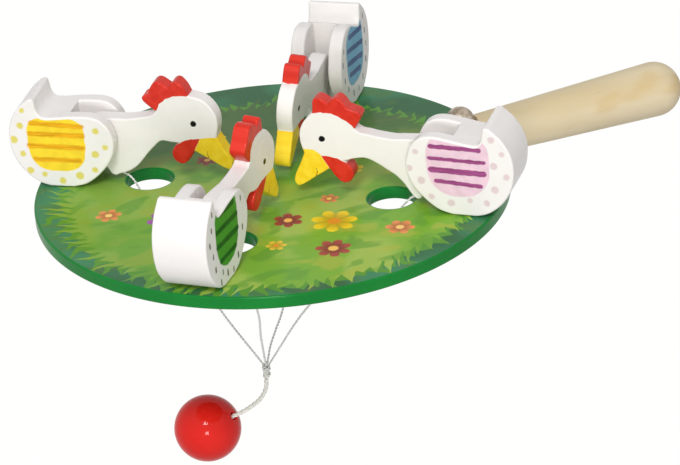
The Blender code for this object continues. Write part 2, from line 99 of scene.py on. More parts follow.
Hen = namedtuple(
    "Hen", "around sideways body_out neck_out neck_across neck_lift neck_yaw neck_lean string_bends"
)
HENS = {
    "pink": Hen(-42.2, -3.1, 0, 0.4, 0, 0.1, 0.9, -1.3, [(5.4, -8.8, -45.8)]),
    "blue": Hen(
        50, -2.5, -1.2, -2.5, 0, -2, 0, 5, [(5, 13.3, -56.3), (-0.2, 8.9, -61.4), (-3.9, 5.9, -65.4)]
    ),
    "yellow": Hen(142.3, -0.2, 0, 2.6, 0, 4.3, -2.5, -1.5, [(-19.3, 13, -49.2)]),
    "green": Hen(226, 1.9, -3, 0.2, 0.4, -1.8, -3.2, -3.2, [(-18.6, -22, -33), (-13, -9.1, -52.6)]),
}


def turn(degrees, axis):
    return Matrix.Rotation(math.radians(degrees), 4, axis)


def shift(out=0.0, across=0.0, up=0.0):
    return Matrix.Translation(Vector((out, across, up)) * MM)


def hen_frame(hen):
    """From a hen's own axes to the toy's."""
    on_top = Matrix.Translation(BOARD_CENTRE + Vector((0, 0, BOARD_THICKNESS / 2)))
    return on_top @ turn(hen.around, "Z") @ shift(across=hen.sideways)


def neck_frame(hen):
    """A neck's own axes, with the origin on its pin."""
    pin = hen_frame(hen) @ shift(PIVOT_OUT + hen.neck_out, hen.neck_across, PIVOT_UP)
    return pin @ turn(hen.neck_lift, "Y") @ turn(hen.neck_yaw, "Z") @ turn(hen.neck_lean, "X")


def under_board(point):
    return BOARD_CENTRE + Vector(point) * MM


for name, hen in HENS.items():
    print(name, "pin at", [round(value, 4) for value in neck_frame(hen).translation])

# %% [markdown]
# ## The camera
# The camera stands where the photograph was taken from: a long lens about 1.2 m away,
# a little above the board and rolled a few degrees, so the board's far rim climbs to
# the right. Its matrix is made from three axes, so no helper has to aim it.

# %% Camera
CAMERA_AZIMUTH, CAMERA_ELEVATION, CAMERA_ROLL = 337.43, 27.11, -4.447
CAMERA_TARGET = Vector((-0.12012, -0.04746, 0.0024))
CAMERA_DISTANCE = 1.24427
CAMERA_LENS = 190.6

azimuth, elevation, roll = (math.radians(v) for v in (CAMERA_AZIMUTH, CAMERA_ELEVATION, CAMERA_ROLL))
back = Vector((
    math.sin(azimuth) * math.cos(elevation),
    -math.cos(azimuth) * math.cos(elevation),
    math.sin(elevation),
))
level_right = (-back).cross(Vector((0, 0, 1))).normalized()
level_up = level_right.cross(-back)
right = level_right * math.cos(roll) + level_up * math.sin(roll)
up = level_up * math.cos(roll) - level_right * math.sin(roll)

camera = bpy.data.objects.new("camera", bpy.data.cameras.new("camera"))
camera.data.lens = CAMERA_LENS
camera.data.sensor_width = 36
camera.data.clip_end = 20
camera.matrix_world = Matrix.Translation(CAMERA_TARGET + back * CAMERA_DISTANCE) @ (
    Matrix((right, up, back)).transposed().to_4x4()
)
scene.collection.objects.link(camera)
scene.camera = camera
print("camera at", [round(value, 3) for value in camera.location])

# %% [markdown]
# ## A short way to write materials
# Every finish below is a small node tree. Wiring nodes one by one is long, so this
# class has one short call for each kind of node. A value may be a number, a colour or
# another node's output. What is the same all over a surface goes straight on the
# shader's own socket, and only what varies is wired.

# %% Paint mixer
# millimetres of a hen's drawing for one unit of its UV map
DRAWING_SIZE = 100.0


class Finish:
    """A material that is built with one short call for each node."""

    def __init__(self, name, **sockets):
        self.material = bpy.data.materials.new(name)
        self.material.use_nodes = True
        self.nodes = self.material.node_tree.nodes
        self.links = self.material.node_tree.links
        self.shader = self.nodes["Principled BSDF"]
        for socket, value in sockets.items():
            self.feed(self.shader.inputs[socket.replace("_", " ").title().replace("Ior", "IOR")], value)

    def feed(self, socket, value):
        if isinstance(value, bpy.types.NodeSocket):
            self.links.new(value, socket)
        elif socket.type == "RGBA" and len(value) == 3:
            socket.default_value = (*value, 1)
        else:
            socket.default_value = value

    def node(self, kind, values, output=0, **settings):
        made = self.nodes.new(kind)
        for key, value in settings.items():
            setattr(made, key, value)
        for socket, value in values.items():
            self.feed(made.inputs[socket], value)
        return made.outputs[output]

    def math(self, operation, *values):
        return self.node("ShaderNodeMath", dict(enumerate(values)), operation=operation)

    def vector(self, operation, *values):
        output = "Value" if operation in ("LENGTH", "DISTANCE", "DOT_PRODUCT") else "Vector"
        values = dict(enumerate(values))
        if operation == "SCALE":
            values = {0: values[0], "Scale": values[1]}
        return self.node("ShaderNodeVectorMath", values, output, operation=operation)

    def split(self, vector):
        made = self.nodes.new("ShaderNodeSeparateXYZ")
        self.feed(made.inputs[0], vector)
        return made.outputs

    def join(self, x, y, z=0.0):
        return self.node("ShaderNodeCombineXYZ", {0: x, 1: y, 2: z})

    def place(self):
        """Where a point is on the toy, in metres."""
        return self.node("ShaderNodeTexCoord", {}, "Object")

    def drawn(self):
        """Where a point is on a hen's drawing, in millimetres."""
        return self.vector("SCALE", self.node("ShaderNodeUVMap", {}, uv_map="drawing"), DRAWING_SIZE)

    def noise(self, vector, scale, detail=2.0, roughness=0.5, distortion=0.0):
        values = {"Vector": vector, "Scale": scale, "Detail": detail}
        values |= {"Roughness": roughness, "Distortion": distortion}
        return self.node("ShaderNodeTexNoise", values)

    def step(self, value, low, high, start=0.0, end=1.0):
        """A soft step from start to end as the value goes from low to high."""
        values = {"Value": value, "From Min": low, "From Max": high, "To Min": start, "To Max": end}
        return self.node("ShaderNodeMapRange", values, interpolation_type="SMOOTHSTEP")

    def mix(self, factor, first, second):
        return self.node("ShaderNodeMix", {0: factor, 6: first, 7: second}, 2, data_type="RGBA")

    def colour(self, value):
        self.feed(self.shader.inputs["Base Color"], value)

    def rough(self, value):
        self.feed(self.shader.inputs["Roughness"], value)

    def bump(self, height, distance):
        values = {"Height": height, "Distance": distance}
        self.feed(self.shader.inputs["Normal"], self.node("ShaderNodeBump", values))


# %% [markdown]
# ## Making a piece
# A finished piece is a plain mesh whose object sits at the origin. `settle` takes an
# object with modifiers, bakes them and its place into the mesh, and `adopt` says which
# body it moves with and which solids it stands for.

# %% Helpers for finished pieces
def new_piece(name, mesh):
    piece = bpy.data.objects.new(name, mesh)
    scene.collection.objects.link(piece)
    return piece


def settle(piece):
    """A new object at the origin that holds the evaluated shape."""
    if piece.name not in scene.collection.objects:
        scene.collection.objects.link(piece)
    bpy.context.view_layer.update()
    graph = bpy.context.evaluated_depsgraph_get()
    evaluated = piece.evaluated_get(graph)
    mesh = bpy.data.meshes.new_from_object(evaluated, preserve_all_data_layers=True, depsgraph=graph)
    mesh.transform(piece.matrix_world)
    name = piece.name
    bpy.data.objects.remove(piece, do_unlink=True)
    mesh.name = name
    return new_piece(name, mesh)


def adopt(piece, body, finish_slot, *nodes):
    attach(piece, body)
    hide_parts(*nodes)
    print(piece.name, "has", len(piece.data.polygons), "faces and rides on", body)


# %% Smooth curves
def between(start, leave, end, arrive, t):
    """A point on the smooth curve that leaves one point and arrives at the next."""
    return (
        start * (2 * t**3 - 3 * t**2 + 1)
        + leave * (t**3 - 2 * t**2 + t)
        + end * (3 * t**2 - 2 * t**3)
        + arrive * (t**3 - t**2)
    )


def smooth_route(points, step):
    """Points every step or so along one smooth curve through the given ones."""
    spots = [Vector(point) for point in points]
    last = len(spots) - 1
    path = []
    for index in range(last):
        start, end = spots[index], spots[index + 1]
        length = (end - start).length
        leave = (end - spots[max(index - 1, 0)]).normalized() * length
        arrive = (spots[min(index + 2, last)] - start).normalized() * length
        pieces = max(1, round(length / step))
        for piece in range(pieces):
            path.append(between(start, leave, end, arrive, piece / pieces))
    path.append(spots[-1])
    return path


# %% [markdown]
# ## Cotton
# The strings are thin twisted cotton and the ball hangs on a thicker cord of the same.
# A texture could only fake the twist, so the strands are real: Geometry Nodes sweep a
# few small circles along the route, and tilt the curve steadily so that they wind
# round each other. The material then only needs fibres and a little grime.

# %% Cotton finish
def cotton(name, light, dark):
    finish = Finish(name, roughness=0.85, sheen_weight=0.3)
    fibres = finish.noise(finish.place(), 2600.0, 3.0, 0.7)
    patches = finish.noise(finish.place(), 160.0, 2.0)
    shade = finish.math("ADD", finish.math("MULTIPLY", fibres, 0.7), finish.math("MULTIPLY", patches, 0.3))
    finish.colour(finish.mix(finish.step(shade, 0.3, 0.7), dark, light))
    finish.bump(fibres, 0.00006)
    return finish.material


string_cotton = cotton("string_cotton", (0.95, 0.94, 0.91), (0.78, 0.77, 0.74))
cord_cotton = cotton("cord_cotton", (0.96, 0.95, 0.90), (0.82, 0.80, 0.73))
print("finishes:", string_cotton.name, "and", cord_cotton.name)

# %% Twisted cord node tree
LAY_INPUTS = {
    "Strands": "NodeSocketInt",
    "Strand Radius": "NodeSocketFloat",
    "Winding Radius": "NodeSocketFloat",
    "Turn Length": "NodeSocketFloat",
    "Cotton": "NodeSocketMaterial",
}


def twisted_cord_tree():
    tree = bpy.data.node_groups.new("twisted_cord", "GeometryNodeTree")
    face = tree.interface
    face.new_socket("Route", in_out="INPUT", socket_type="NodeSocketGeometry")
    for socket, kind in LAY_INPUTS.items():
        face.new_socket(socket, in_out="INPUT", socket_type=kind)
    face.new_socket("Cord", in_out="OUTPUT", socket_type="NodeSocketGeometry")
    new, link = tree.nodes.new, tree.links.new

    def number(operation, *values):
        made = new("ShaderNodeMath")
        made.operation = operation
        for socket, value in zip(made.inputs, values):
            if isinstance(value, bpy.types.NodeSocket):
                link(value, socket)
            else:
                socket.default_value = value
        return made.outputs[0]

    entry, leave = new("NodeGroupInput"), new("NodeGroupOutput")
    whole_turns = number("MULTIPLY", new("GeometryNodeInputIndex").outputs[0], math.tau)
    angle = number("DIVIDE", whole_turns, entry.outputs["Strands"])
    spot = new("ShaderNodeCombineXYZ")
    link(number("MULTIPLY", number("COSINE", angle), entry.outputs["Winding Radius"]), spot.inputs[0])
    link(number("MULTIPLY", number("SINE", angle), entry.outputs["Winding Radius"]), spot.inputs[1])
    points = new("GeometryNodePoints")
    link(entry.outputs["Strands"], points.inputs["Count"])
    link(spot.outputs[0], points.inputs["Position"])
    strand = new("GeometryNodeCurvePrimitiveCircle")
    strand.inputs["Resolution"].default_value = 8
    link(entry.outputs["Strand Radius"], strand.inputs["Radius"])
    copies = new("GeometryNodeInstanceOnPoints")
    link(points.outputs[0], copies.inputs["Points"])
    link(strand.outputs[0], copies.inputs["Instance"])
    profile = new("GeometryNodeRealizeInstances")
    link(copies.outputs[0], profile.inputs[0])

    along = new("GeometryNodeSplineParameter")
    tilt = new("GeometryNodeSetCurveTilt")
    link(entry.outputs["Route"], tilt.inputs["Curve"])
    turns = number("DIVIDE", along.outputs["Length"], entry.outputs["Turn Length"])
    link(number("MULTIPLY", turns, math.tau), tilt.inputs["Tilt"])
    sweep = new("GeometryNodeCurveToMesh")
    sweep.inputs["Fill Caps"].default_value = True
    link(tilt.outputs[0], sweep.inputs["Curve"])
    link(profile.outputs[0], sweep.inputs["Profile Curve"])
    colour = new("GeometryNodeSetMaterial")
    link(sweep.outputs[0], colour.inputs["Geometry"])
    link(entry.outputs["Cotton"], colour.inputs["Material"])
    link(colour.outputs[0], leave.inputs[0])
    return tree


twisted_cord = twisted_cord_tree()
print("the cord's tree has", len(twisted_cord.nodes), "nodes")

# %% Twist a cord along a route
Lay = namedtuple("Lay", "strands strand_radius winding_radius turn_length material")
STRING_LAY = Lay(2, 0.235 * MM, 0.215 * MM, 2.6 * MM, string_cotton)
CORD_LAY = Lay(3, 0.44 * MM, 0.41 * MM, 6.0 * MM, cord_cotton)
ROUTE_STEP = 0.25 * MM


def twist(name, route, lay):
    """A twisted cord along a route, and the path that it follows."""
    data = bpy.data.curves.new(name, "CURVE")
    data.dimensions = "3D"
    path = smooth_route(route, ROUTE_STEP)
    spline = data.splines.new("POLY")
    spline.points.add(len(path) - 1)
    for spot, point in zip(spline.points, path):
        spot.co = (*point, 1)
    cord = bpy.data.objects.new(name, data)
    modifier = cord.modifiers.new("twist", "NODES")
    modifier.node_group = twisted_cord
    sockets = {item.name: item.identifier for item in twisted_cord.interface.items_tree}
    for socket, value in zip(LAY_INPUTS, lay):
        modifier[sockets[socket]] = value
    cord = settle(cord)
    cord.data.shade_smooth()
    return cord, path


# %% [markdown]
# ## The pull strings
# Each string is glued to its neck's heel, passes the edge of its hole and runs down to
# the knot that gathers all four, which slides a little. It is made in two stretches: a
# short one from the neck to just below the board, and a longer one on to the knot.

# %% Strings
HEEL_TIE = (54.9, 2.15)
HOLE_EDGE_PASS = (52.4, 0.4)
GAP = 0.3 * MM
STRING_JOIN_DEPTH = 2 * MM
STRING_KNOT = (-7.4, 2.9, -72.2)
STRING_KNOT_RADIUS = 1.6 * MM


def string_route(hen):
    """Where a string is tied, passes its hole's edge, is parted, bends and meets the knot."""
    out, height = HEEL_TIE
    tie = neck_frame(hen) @ (Vector((out - PIVOT_OUT, 0, height - PIVOT_UP)) * MM)
    out, height = HOLE_EDGE_PASS
    edge = hen_frame(hen) @ (Vector((out, 0, height)) * MM)
    bends = [under_board(bend) for bend in hen.string_bends]
    knot = under_board(STRING_KNOT)
    knot += (bends[-1] - knot).normalized() * (STRING_KNOT_RADIUS + GAP)
    drop = (edge.z + BOARD_THICKNESS / 2 + STRING_JOIN_DEPTH) / (edge.z - bends[0].z)
    return tie, edge, edge.lerp(bends[0], drop), bends, knot


for name, hen in HENS.items():
    tie, edge, join, bends, knot = string_route(hen)
    upper, _ = twist(f"{name}_string_top", [tie, edge, join], STRING_LAY)
    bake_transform(upper)
    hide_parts(f"{name}_string_upper")
    lower, path = twist(f"{name}_string_long", [join, *bends, knot], STRING_LAY)
    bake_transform(lower)
    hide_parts(f"{name}_string_lower")

# %% [markdown]
# ## The ball's cord
# The thick cord starts in a small loop at the gathering knot, falls, swings over to
# the ball and runs through its bore to a stopper knot in a recess behind. It follows
# the bends that the photograph shows, because a cord that hangs straight would put the
# ball in another place.

# %% Cord to the ball
CORD_LOOP = (-7.0, 4.0, -75.6)
CORD_LOOP_RADIUS = 1.5 * MM
BALL_CENTRE = (-25.4, 22.0, -101.6)
BALL_RADIUS = 12.5 * MM
BALL_BORE_RADIUS = 1.5 * MM
BALL_KNOT_DISTANCE = 9.3 * MM
BALL_KNOT_RADIUS = 2.2 * MM
CORD_BENDS = [
    (-7.3, 4.8, -78.3),
    (-7.3, 5.3, -81.4),
    (-8.1, 6.5, -84.6),
    (-9.6, 8.0, -87.6),
    (-11.9, 10.3, -90.6),
    (-14.4, 12.5, -93.1),
]

ball_centre = under_board(BALL_CENTRE)
bends = [under_board(bend) for bend in CORD_BENDS]
way_out = (bends[-1] - ball_centre).normalized()
loop_centre = under_board(CORD_LOOP)
cord_start = loop_centre + (bends[0] - loop_centre).normalized() * (CORD_LOOP_RADIUS + GAP)
cord_end = ball_centre - way_out * (BALL_KNOT_DISTANCE - BALL_KNOT_RADIUS - GAP)
cord_route = [cord_start, *bends[1:], ball_centre + way_out * BALL_RADIUS, ball_centre, cord_end]
ball_cord, cord_path = twist("ball_cord", cord_route, CORD_LAY)
adopt(ball_cord, "ball", "cotton", "main_cord")

# %% [markdown]
# ## The knots
# One knot gathers the strings, a small loop below it takes the cord, and a stopper keeps
# the cord in the ball. A true knot could be one long curve that crosses itself, but at
# two or three millimetres nobody sees how it is tied. A short end wound on a helix looks
# the same from outside, and a swell in its middle makes it look pulled tight.

# %% Gathering knot, cord loop and stopper knot
def wound(name, centre, axis, back_by, on_by, radius, turns, lay, bulge=0.0):
    """A cord wound on a helix along an axis through a centre, fuller in the middle by bulge."""
    start, end = centre - axis * back_by, centre + axis * on_by
    along = end - start
    side = along.orthogonal().normalized()
    other = along.normalized().cross(side)
    points = []
    count = max(8, round(turns * 10))
    for index in range(count + 1):
        t = index / count
        angle = t * turns * math.tau
        reach = radius * (1 + bulge * math.sin(math.pi * t))
        points.append(start + along * t + (side * math.cos(angle) + other * math.sin(angle)) * reach)
    return twist(name, points, lay)[0]


knot_centre = under_board(STRING_KNOT)
down = (loop_centre - knot_centre).normalized()
gathering_knot = wound(
    "gathering_knot", knot_centre, down, 1.5 * MM, 1.4 * MM,
    radius=0.95 * MM, turns=3.5, lay=STRING_LAY, bulge=0.25,
)
adopt(gathering_knot, "harness", "cotton", "string_knot")

cord_down = (cord_start - loop_centre).normalized()
loop_knot = wound(
    "loop_knot", loop_centre, cord_down, 1.1 * MM, 1.0 * MM, radius=0.62 * MM, turns=1.6, lay=CORD_LAY
)
adopt(loop_knot, "cord_link", "cotton", "cord_loop")

stopper_centre = ball_centre - way_out * BALL_KNOT_DISTANCE
stopper_knot = wound(
    "stopper_knot", stopper_centre, -way_out, 1.2 * MM, 1.2 * MM, radius=1.1 * MM, turns=2.4, lay=CORD_LAY
)
adopt(stopper_knot, "ball", "cotton", "ball_knot")

# %% [markdown]
# ## The ball
# A turned wooden bead: a sphere with a bore, rounded where the cord goes in and wider
# behind, where the stopper knot lies. A ready-made sphere would need Booleans for all
# that. Spinning one profile round the bore gives it at once, as turning does.

# %% Spinning helper
MERGE_DISTANCE = 0.002 * MM


def built(name, shape):
    """A piece in the scene from a bmesh, which is then given back."""
    mesh = bpy.data.meshes.new(name)
    shape.to_mesh(mesh)
    shape.free()
    return new_piece(name, mesh)


def spun(name, profile, matrix, steps):
    """A shape spun about Z from (radius, height) points, then placed."""
    shape = bmesh.new()
    spots = [shape.verts.new((radius, 0, height)) for radius, height in profile]
    edges = [shape.edges.new(pair) for pair in zip(spots, spots[1:])]
    bmesh.ops.spin(
        shape,
        geom=spots + edges,
        axis=(0, 0, 1),
        cent=(0, 0, 0),
        steps=steps,
        angle=math.tau,
        use_merge=True,
    )
    bmesh.ops.remove_doubles(shape, verts=shape.verts, dist=MERGE_DISTANCE)
    bmesh.ops.recalc_face_normals(shape, faces=shape.faces)
    shape.transform(matrix)
    piece = built(name, shape)
    piece.data.shade_smooth()
    return piece


# %% Ball
BORE_ROUND = 0.5 * MM
RECESS_RADIUS = 2.7 * MM
LIP_ANGLES = (0.5, 1.0)
BALL_RINGS = 48
recess_floor = -(BALL_KNOT_DISTANCE - BALL_KNOT_RADIUS - GAP)
first_angle = math.asin((BALL_BORE_RADIUS + BORE_ROUND) / BALL_RADIUS)
last_angle = math.pi - math.asin((RECESS_RADIUS + BORE_ROUND) / BALL_RADIUS)
mouth = BALL_RADIUS * math.cos(first_angle) - BORE_ROUND
recess_mouth = BALL_RADIUS * math.cos(last_angle) + BORE_ROUND
profile = [(BALL_BORE_RADIUS, mouth)]
for angle in LIP_ANGLES:
    lip = BORE_ROUND * (1 - math.cos(angle))
    profile.append((BALL_BORE_RADIUS + lip, mouth + BORE_ROUND * math.sin(angle)))
for index in range(BALL_RINGS + 1):
    angle = first_angle + (last_angle - first_angle) * index / BALL_RINGS
    profile.append((BALL_RADIUS * math.sin(angle), BALL_RADIUS * math.cos(angle)))
for angle in reversed(LIP_ANGLES):
    lip = BORE_ROUND * (1 - math.cos(angle))
    profile.append((RECESS_RADIUS + lip, recess_mouth - BORE_ROUND * math.sin(angle)))
profile += [
    (RECESS_RADIUS, recess_mouth),
    (RECESS_RADIUS, recess_floor),
    (BALL_BORE_RADIUS, recess_floor),
    (BALL_BORE_RADIUS, mouth),
]
to_bore = Matrix.Translation(ball_centre) @ way_out.to_track_quat("Z", "Y").to_matrix().to_4x4()
red_ball = spun("red_ball", profile, to_bore, steps=96)
print("ball mesh:", len(red_ball.data.polygons), "faces")

# %% [markdown]
# ## Red lacquer
# The bead is lacquered: an even, shiny red under a thin clear coat. One flat red would
# show highlights as on a perfect sphere. Slow noise in the colour and the gloss, and a
# very weak bump, break them up as wood under paint does.

# %% Red lacquer
lacquer = Finish("red_lacquer", coat_weight=0.3, coat_roughness=0.04, specular_ior_level=0.02)
clouds = lacquer.noise(lacquer.place(), 60.0, 3.0)
lacquer.colour(lacquer.mix(lacquer.step(clouds, 0.3, 0.7), (0.71, 0.011, 0.008), (0.78, 0.018, 0.012)))
lacquer.rough(lacquer.step(clouds, 0.3, 0.7, 0.2, 0.28))
lacquer.bump(lacquer.noise(lacquer.place(), 240.0, 2.0), 0.00002)
red_ball.data.materials.append(lacquer.material)
adopt(red_ball, "ball", "ball_paint", "ball")

# %% [markdown]
# ## The board
# A round of plywood with a string hole for each hen and its edge sanded round. It
# starts as a flat cylinder, and Booleans cut the holes and the sinks for the screws
# below. A Bevel that looks for sharp angles then rounds every edge alike, the holes'
# edges too, which would be slow to do by hand.

# %% Cutting and rounding helpers
def cylinder(name, radius, bottom, top, matrix, sides):
    shape = bmesh.new()
    middle = Matrix.Translation((0, 0, (bottom + top) / 2))
    bmesh.ops.create_cone(
        shape,
        cap_ends=True,
        segments=sides,
        radius1=radius,
        radius2=radius,
        depth=top - bottom,
        matrix=matrix @ middle,
    )
    return built(name, shape)


def cut(piece, *cutters):
    for cutter in cutters:
        boolean = piece.modifiers.new("cut", "BOOLEAN")
        boolean.operation = "DIFFERENCE"
        boolean.solver = "EXACT"
        boolean.object = cutter


def round_edges(piece, width, segments=3):
    bevel = piece.modifiers.new("round", "BEVEL")
    bevel.width = width
    bevel.segments = segments
    bevel.limit_method = "ANGLE"
    bevel.angle_limit = math.radians(35)
    bevel.use_clamp_overlap = False
    bevel.harden_normals = True


def throw_away(*pieces):
    for piece in pieces:
        bpy.data.objects.remove(piece, do_unlink=True)


# %% Board shape
BODY_SCREW_OUT = 76.6
SCREW_HEAD_RADIUS = 2.8 * MM
BOARD_EDGE = 0.7 * MM
CUTTER_REACH = 20 * MM
# a countersunk hole: the radius of its narrow part and three heights from the board's top
SINK_RADIUS = 1.7 * MM
SINK_TOP, SINK_RIM, SINK_BOTTOM = -2.5 * MM, -4.5 * MM, -6 * MM

half = BOARD_THICKNESS / 2
board = cylinder("painted_board", BOARD_RADIUS, -half, half, Matrix.Translation(BOARD_CENTRE), sides=256)
cutters = []
for name, hen in HENS.items():
    hole = hen_frame(hen) @ shift(out=HOLE_DISTANCE / MM)
    cutters.append(cylinder(name + "_hole", HOLE_RADIUS, -CUTTER_REACH, CUTTER_REACH, hole, sides=96))
    sink = hen_frame(hen) @ shift(out=hen.body_out + BODY_SCREW_OUT)
    profile = [
        (0, SINK_TOP),
        (SINK_RADIUS, SINK_TOP),
        (SCREW_HEAD_RADIUS + GAP, SINK_RIM),
        (SCREW_HEAD_RADIUS + GAP, SINK_BOTTOM),
        (0, SINK_BOTTOM),
    ]
    cutters.append(spun(name + "_sink", profile, sink, steps=32))
cut(board, *cutters)
round_edges(board, BOARD_EDGE)
board.data.shade_smooth()
board = settle(board)
throw_away(*cutters)
print("board mesh:", len(board.data.polygons), "faces")

# %% [markdown]
# ## The green edge
# The board's edge and underside are sprayed plain green. One green would look like
# plastic, so a slow noise moves the colour and the gloss a little, and a fine one gives
# the slight orange peel of spray paint.

# %% Board edge paint
edge_green = Finish("board_edge_green", coat_weight=0.16, coat_roughness=0.08, specular_ior_level=0.06)
cloud = edge_green.noise(edge_green.place(), 45.0, 4.0)
green = edge_green.mix(edge_green.step(cloud, 0.3, 0.7), (0.004, 0.180, 0.024), (0.007, 0.212, 0.030))
edge_green.colour(green)
edge_green.rough(edge_green.step(cloud, 0.35, 0.65, 0.22, 0.34))
edge_green.bump(edge_green.noise(edge_green.place(), 420.0, 3.0), 0.00003)
print("edge paint:", len(edge_green.nodes), "nodes")

# %% [markdown]
# ## The painted meadow
# The board's top is painted: a dark rim, grass that reaches out over it in blades, and
# a few flowers. A picture file would blur close up, so the whole picture is one
# material. It is worked out from each point's distance and angle about the board's
# centre: a blade is a saw tooth on the angle, a petal is a wave on it, and each layer
# is mixed over the one before, as a painter would work. Two layers are painted shade:
# the lawn is darker towards the far side and in the middle, under the heads.

# %% Meadow colours
DARK_GRASS = (0.030, 0.140, 0.050)
TEAL_GRASS = (0.045, 0.240, 0.110)
OLIVE_GRASS = (0.085, 0.190, 0.040)
DEEP_MEADOW = (0.100, 0.310, 0.032)
MEADOW = (0.200, 0.430, 0.036)
LIGHT_MEADOW = (0.350, 0.510, 0.085)
SUNNY_MEADOW = (0.420, 0.470, 0.055)
SHADED_MEADOW = (0.042, 0.112, 0.042)
FAR_SIDE, RIGHT_SIDE = (0.384, 0.923, 0.0), (0.923, -0.384, 0.0)


# %% Grass blades and daisies
class Meadow(Finish):
    """The painted top: blades and daisies laid over each other."""

    def __init__(self, name, **sockets):
        super().__init__(name, **sockets)
        centred = self.vector("SUBTRACT", self.place(), tuple(BOARD_CENTRE))
        self.point = self.vector("MULTIPLY", self.vector("SCALE", centred, 1 / MM), (1.0, 1.0, 0.0))
        axes = self.split(self.point)
        self.radius = self.vector("LENGTH", self.point)
        self.angle = self.math("ARCTAN2", axes[1], axes[0])
        self.wave = self.noise(self.point, 0.045, 2.0)
        self.far = self.vector("DOT_PRODUCT", self.point, FAR_SIDE)
        self.side = self.vector("DOT_PRODUCT", self.point, RIGHT_SIDE)

    def blades(self, count, reach, length, slant, seed):
        """1 where a ring of grass blades covers the board, and 0 outside it."""
        lean = self.math("MULTIPLY", self.math("SUBTRACT", self.radius, reach), slant)
        warp = self.math("MULTIPLY", self.noise(self.point, 0.11, 1.0), 1.6)
        around = self.math("ADD", self.angle, self.math("MULTIPLY", lean, 0.01))
        cell = self.math("ADD", self.math("MULTIPLY", around, count / math.tau), warp)
        cell = self.math("ADD", cell, float(seed))
        part = self.math("FRACT", cell)
        fold = self.math("ABSOLUTE", self.math("MULTIPLY_ADD", part, 2.0, -1.0))
        tooth = self.math("SUBTRACT", 1.0, fold)
        draw = {"W": self.math("FLOOR", cell)}
        chance = self.node("ShaderNodeTexWhiteNoise", draw, "Value", noise_dimensions="1D")
        tall = self.math("MULTIPLY", self.math("MULTIPLY_ADD", chance, 0.75, 0.35), length)
        tall = self.math("MULTIPLY", tall, self.math("MULTIPLY_ADD", self.side, -0.004, 1.0))
        tip = self.math("MULTIPLY", self.math("POWER", tooth, 1.3), tall)
        swell = self.math("MULTIPLY_ADD", self.wave, 8.0, reach - 4.0)
        swell = self.math("MULTIPLY_ADD", self.far, -0.08, swell)
        edge = self.math("ADD", tip, swell)
        return self.step(self.math("SUBTRACT", edge, self.radius), -0.25, 0.35)

    def daisy(self, ground, at, size, petals, turned, petal, heart):
        """A round flower of the given size painted over the ground colour."""
        degrees, distance = at
        spot = (distance * math.cos(math.radians(degrees)), distance * math.sin(math.radians(degrees)), 0.0)
        away = self.vector("SUBTRACT", self.point, spot)
        axes = self.split(away)
        reach = self.vector("LENGTH", away)
        angle = self.math("ADD", self.math("ARCTAN2", axes[1], axes[0]), turned)
        lobe = self.math("ABSOLUTE", self.math("COSINE", self.math("MULTIPLY", angle, petals / 2)))
        edge = self.math("MULTIPLY_ADD", self.math("POWER", lobe, 0.55), size * 0.5, size * 0.5)
        rough_edge = self.math("MULTIPLY_ADD", self.noise(self.point, 0.9, 1.0), 0.9, -0.45)
        inside = self.step(self.math("ADD", self.math("SUBTRACT", edge, reach), rough_edge), -0.3, 0.3)
        fade = self.step(reach, size * 0.2, size, 0.25, 1.0)
        dark = tuple(channel * 0.45 for channel in petal)
        streaks = self.math("MULTIPLY", fade, self.step(lobe, 0.1, 0.8, 0.5, 1.0))
        flower = self.mix(streaks, dark, petal)
        centre = self.step(reach, size * 0.24, size * 0.32, 1.0, 0.0)
        flower = self.mix(centre, flower, heart)
        return self.mix(inside, ground, flower)


# %% Paint the meadow
meadow = Meadow("board_meadow", coat_weight=0.08, coat_roughness=0.1, specular_ior_level=0.08)
brush = meadow.noise(meadow.point, 0.030, 1.0, 0.4, 0.8)
strokes = meadow.noise(meadow.vector("MULTIPLY", meadow.point, (1.0, 1.6, 1.0)), 0.055, 2.0, 0.45, 0.5)
band = meadow.mix(meadow.step(brush, 0.42, 0.6), DARK_GRASS, TEAL_GRASS)
band = meadow.mix(meadow.step(strokes, 0.52, 0.68, 0.0, 0.6), band, OLIVE_GRASS)
lawn = meadow.mix(meadow.step(brush, 0.42, 0.54), MEADOW, LIGHT_MEADOW)
lawn = meadow.mix(meadow.step(strokes, 0.53, 0.64, 0.0, 0.6), lawn, SUNNY_MEADOW)
lawn = meadow.mix(meadow.step(strokes, 0.38, 0.47, 0.6, 0.0), lawn, DEEP_MEADOW)
lawn = meadow.mix(meadow.step(meadow.side, -70.0, -5.0, 0.5, 0.0), lawn, DEEP_MEADOW)
lawn = meadow.mix(meadow.step(meadow.far, 0.0, 48.0, 0.0, 0.85), lawn, SHADED_MEADOW)
# painted shade: the lawn turns darker in the middle of the board, under the heads
lawn = meadow.mix(meadow.step(meadow.radius, 8.0, 34.0, 0.4, 0.0), lawn, DEEP_MEADOW)
back_blades = meadow.blades(count=86, reach=72.5, length=8.0, slant=-0.5, seed=3)
front_blades = meadow.blades(count=104, reach=70.0, length=8.5, slant=0.6, seed=29)
picture = meadow.mix(back_blades, band, DEEP_MEADOW)
picture = meadow.mix(front_blades, picture, lawn)
print("grass:", len(meadow.nodes), "nodes")

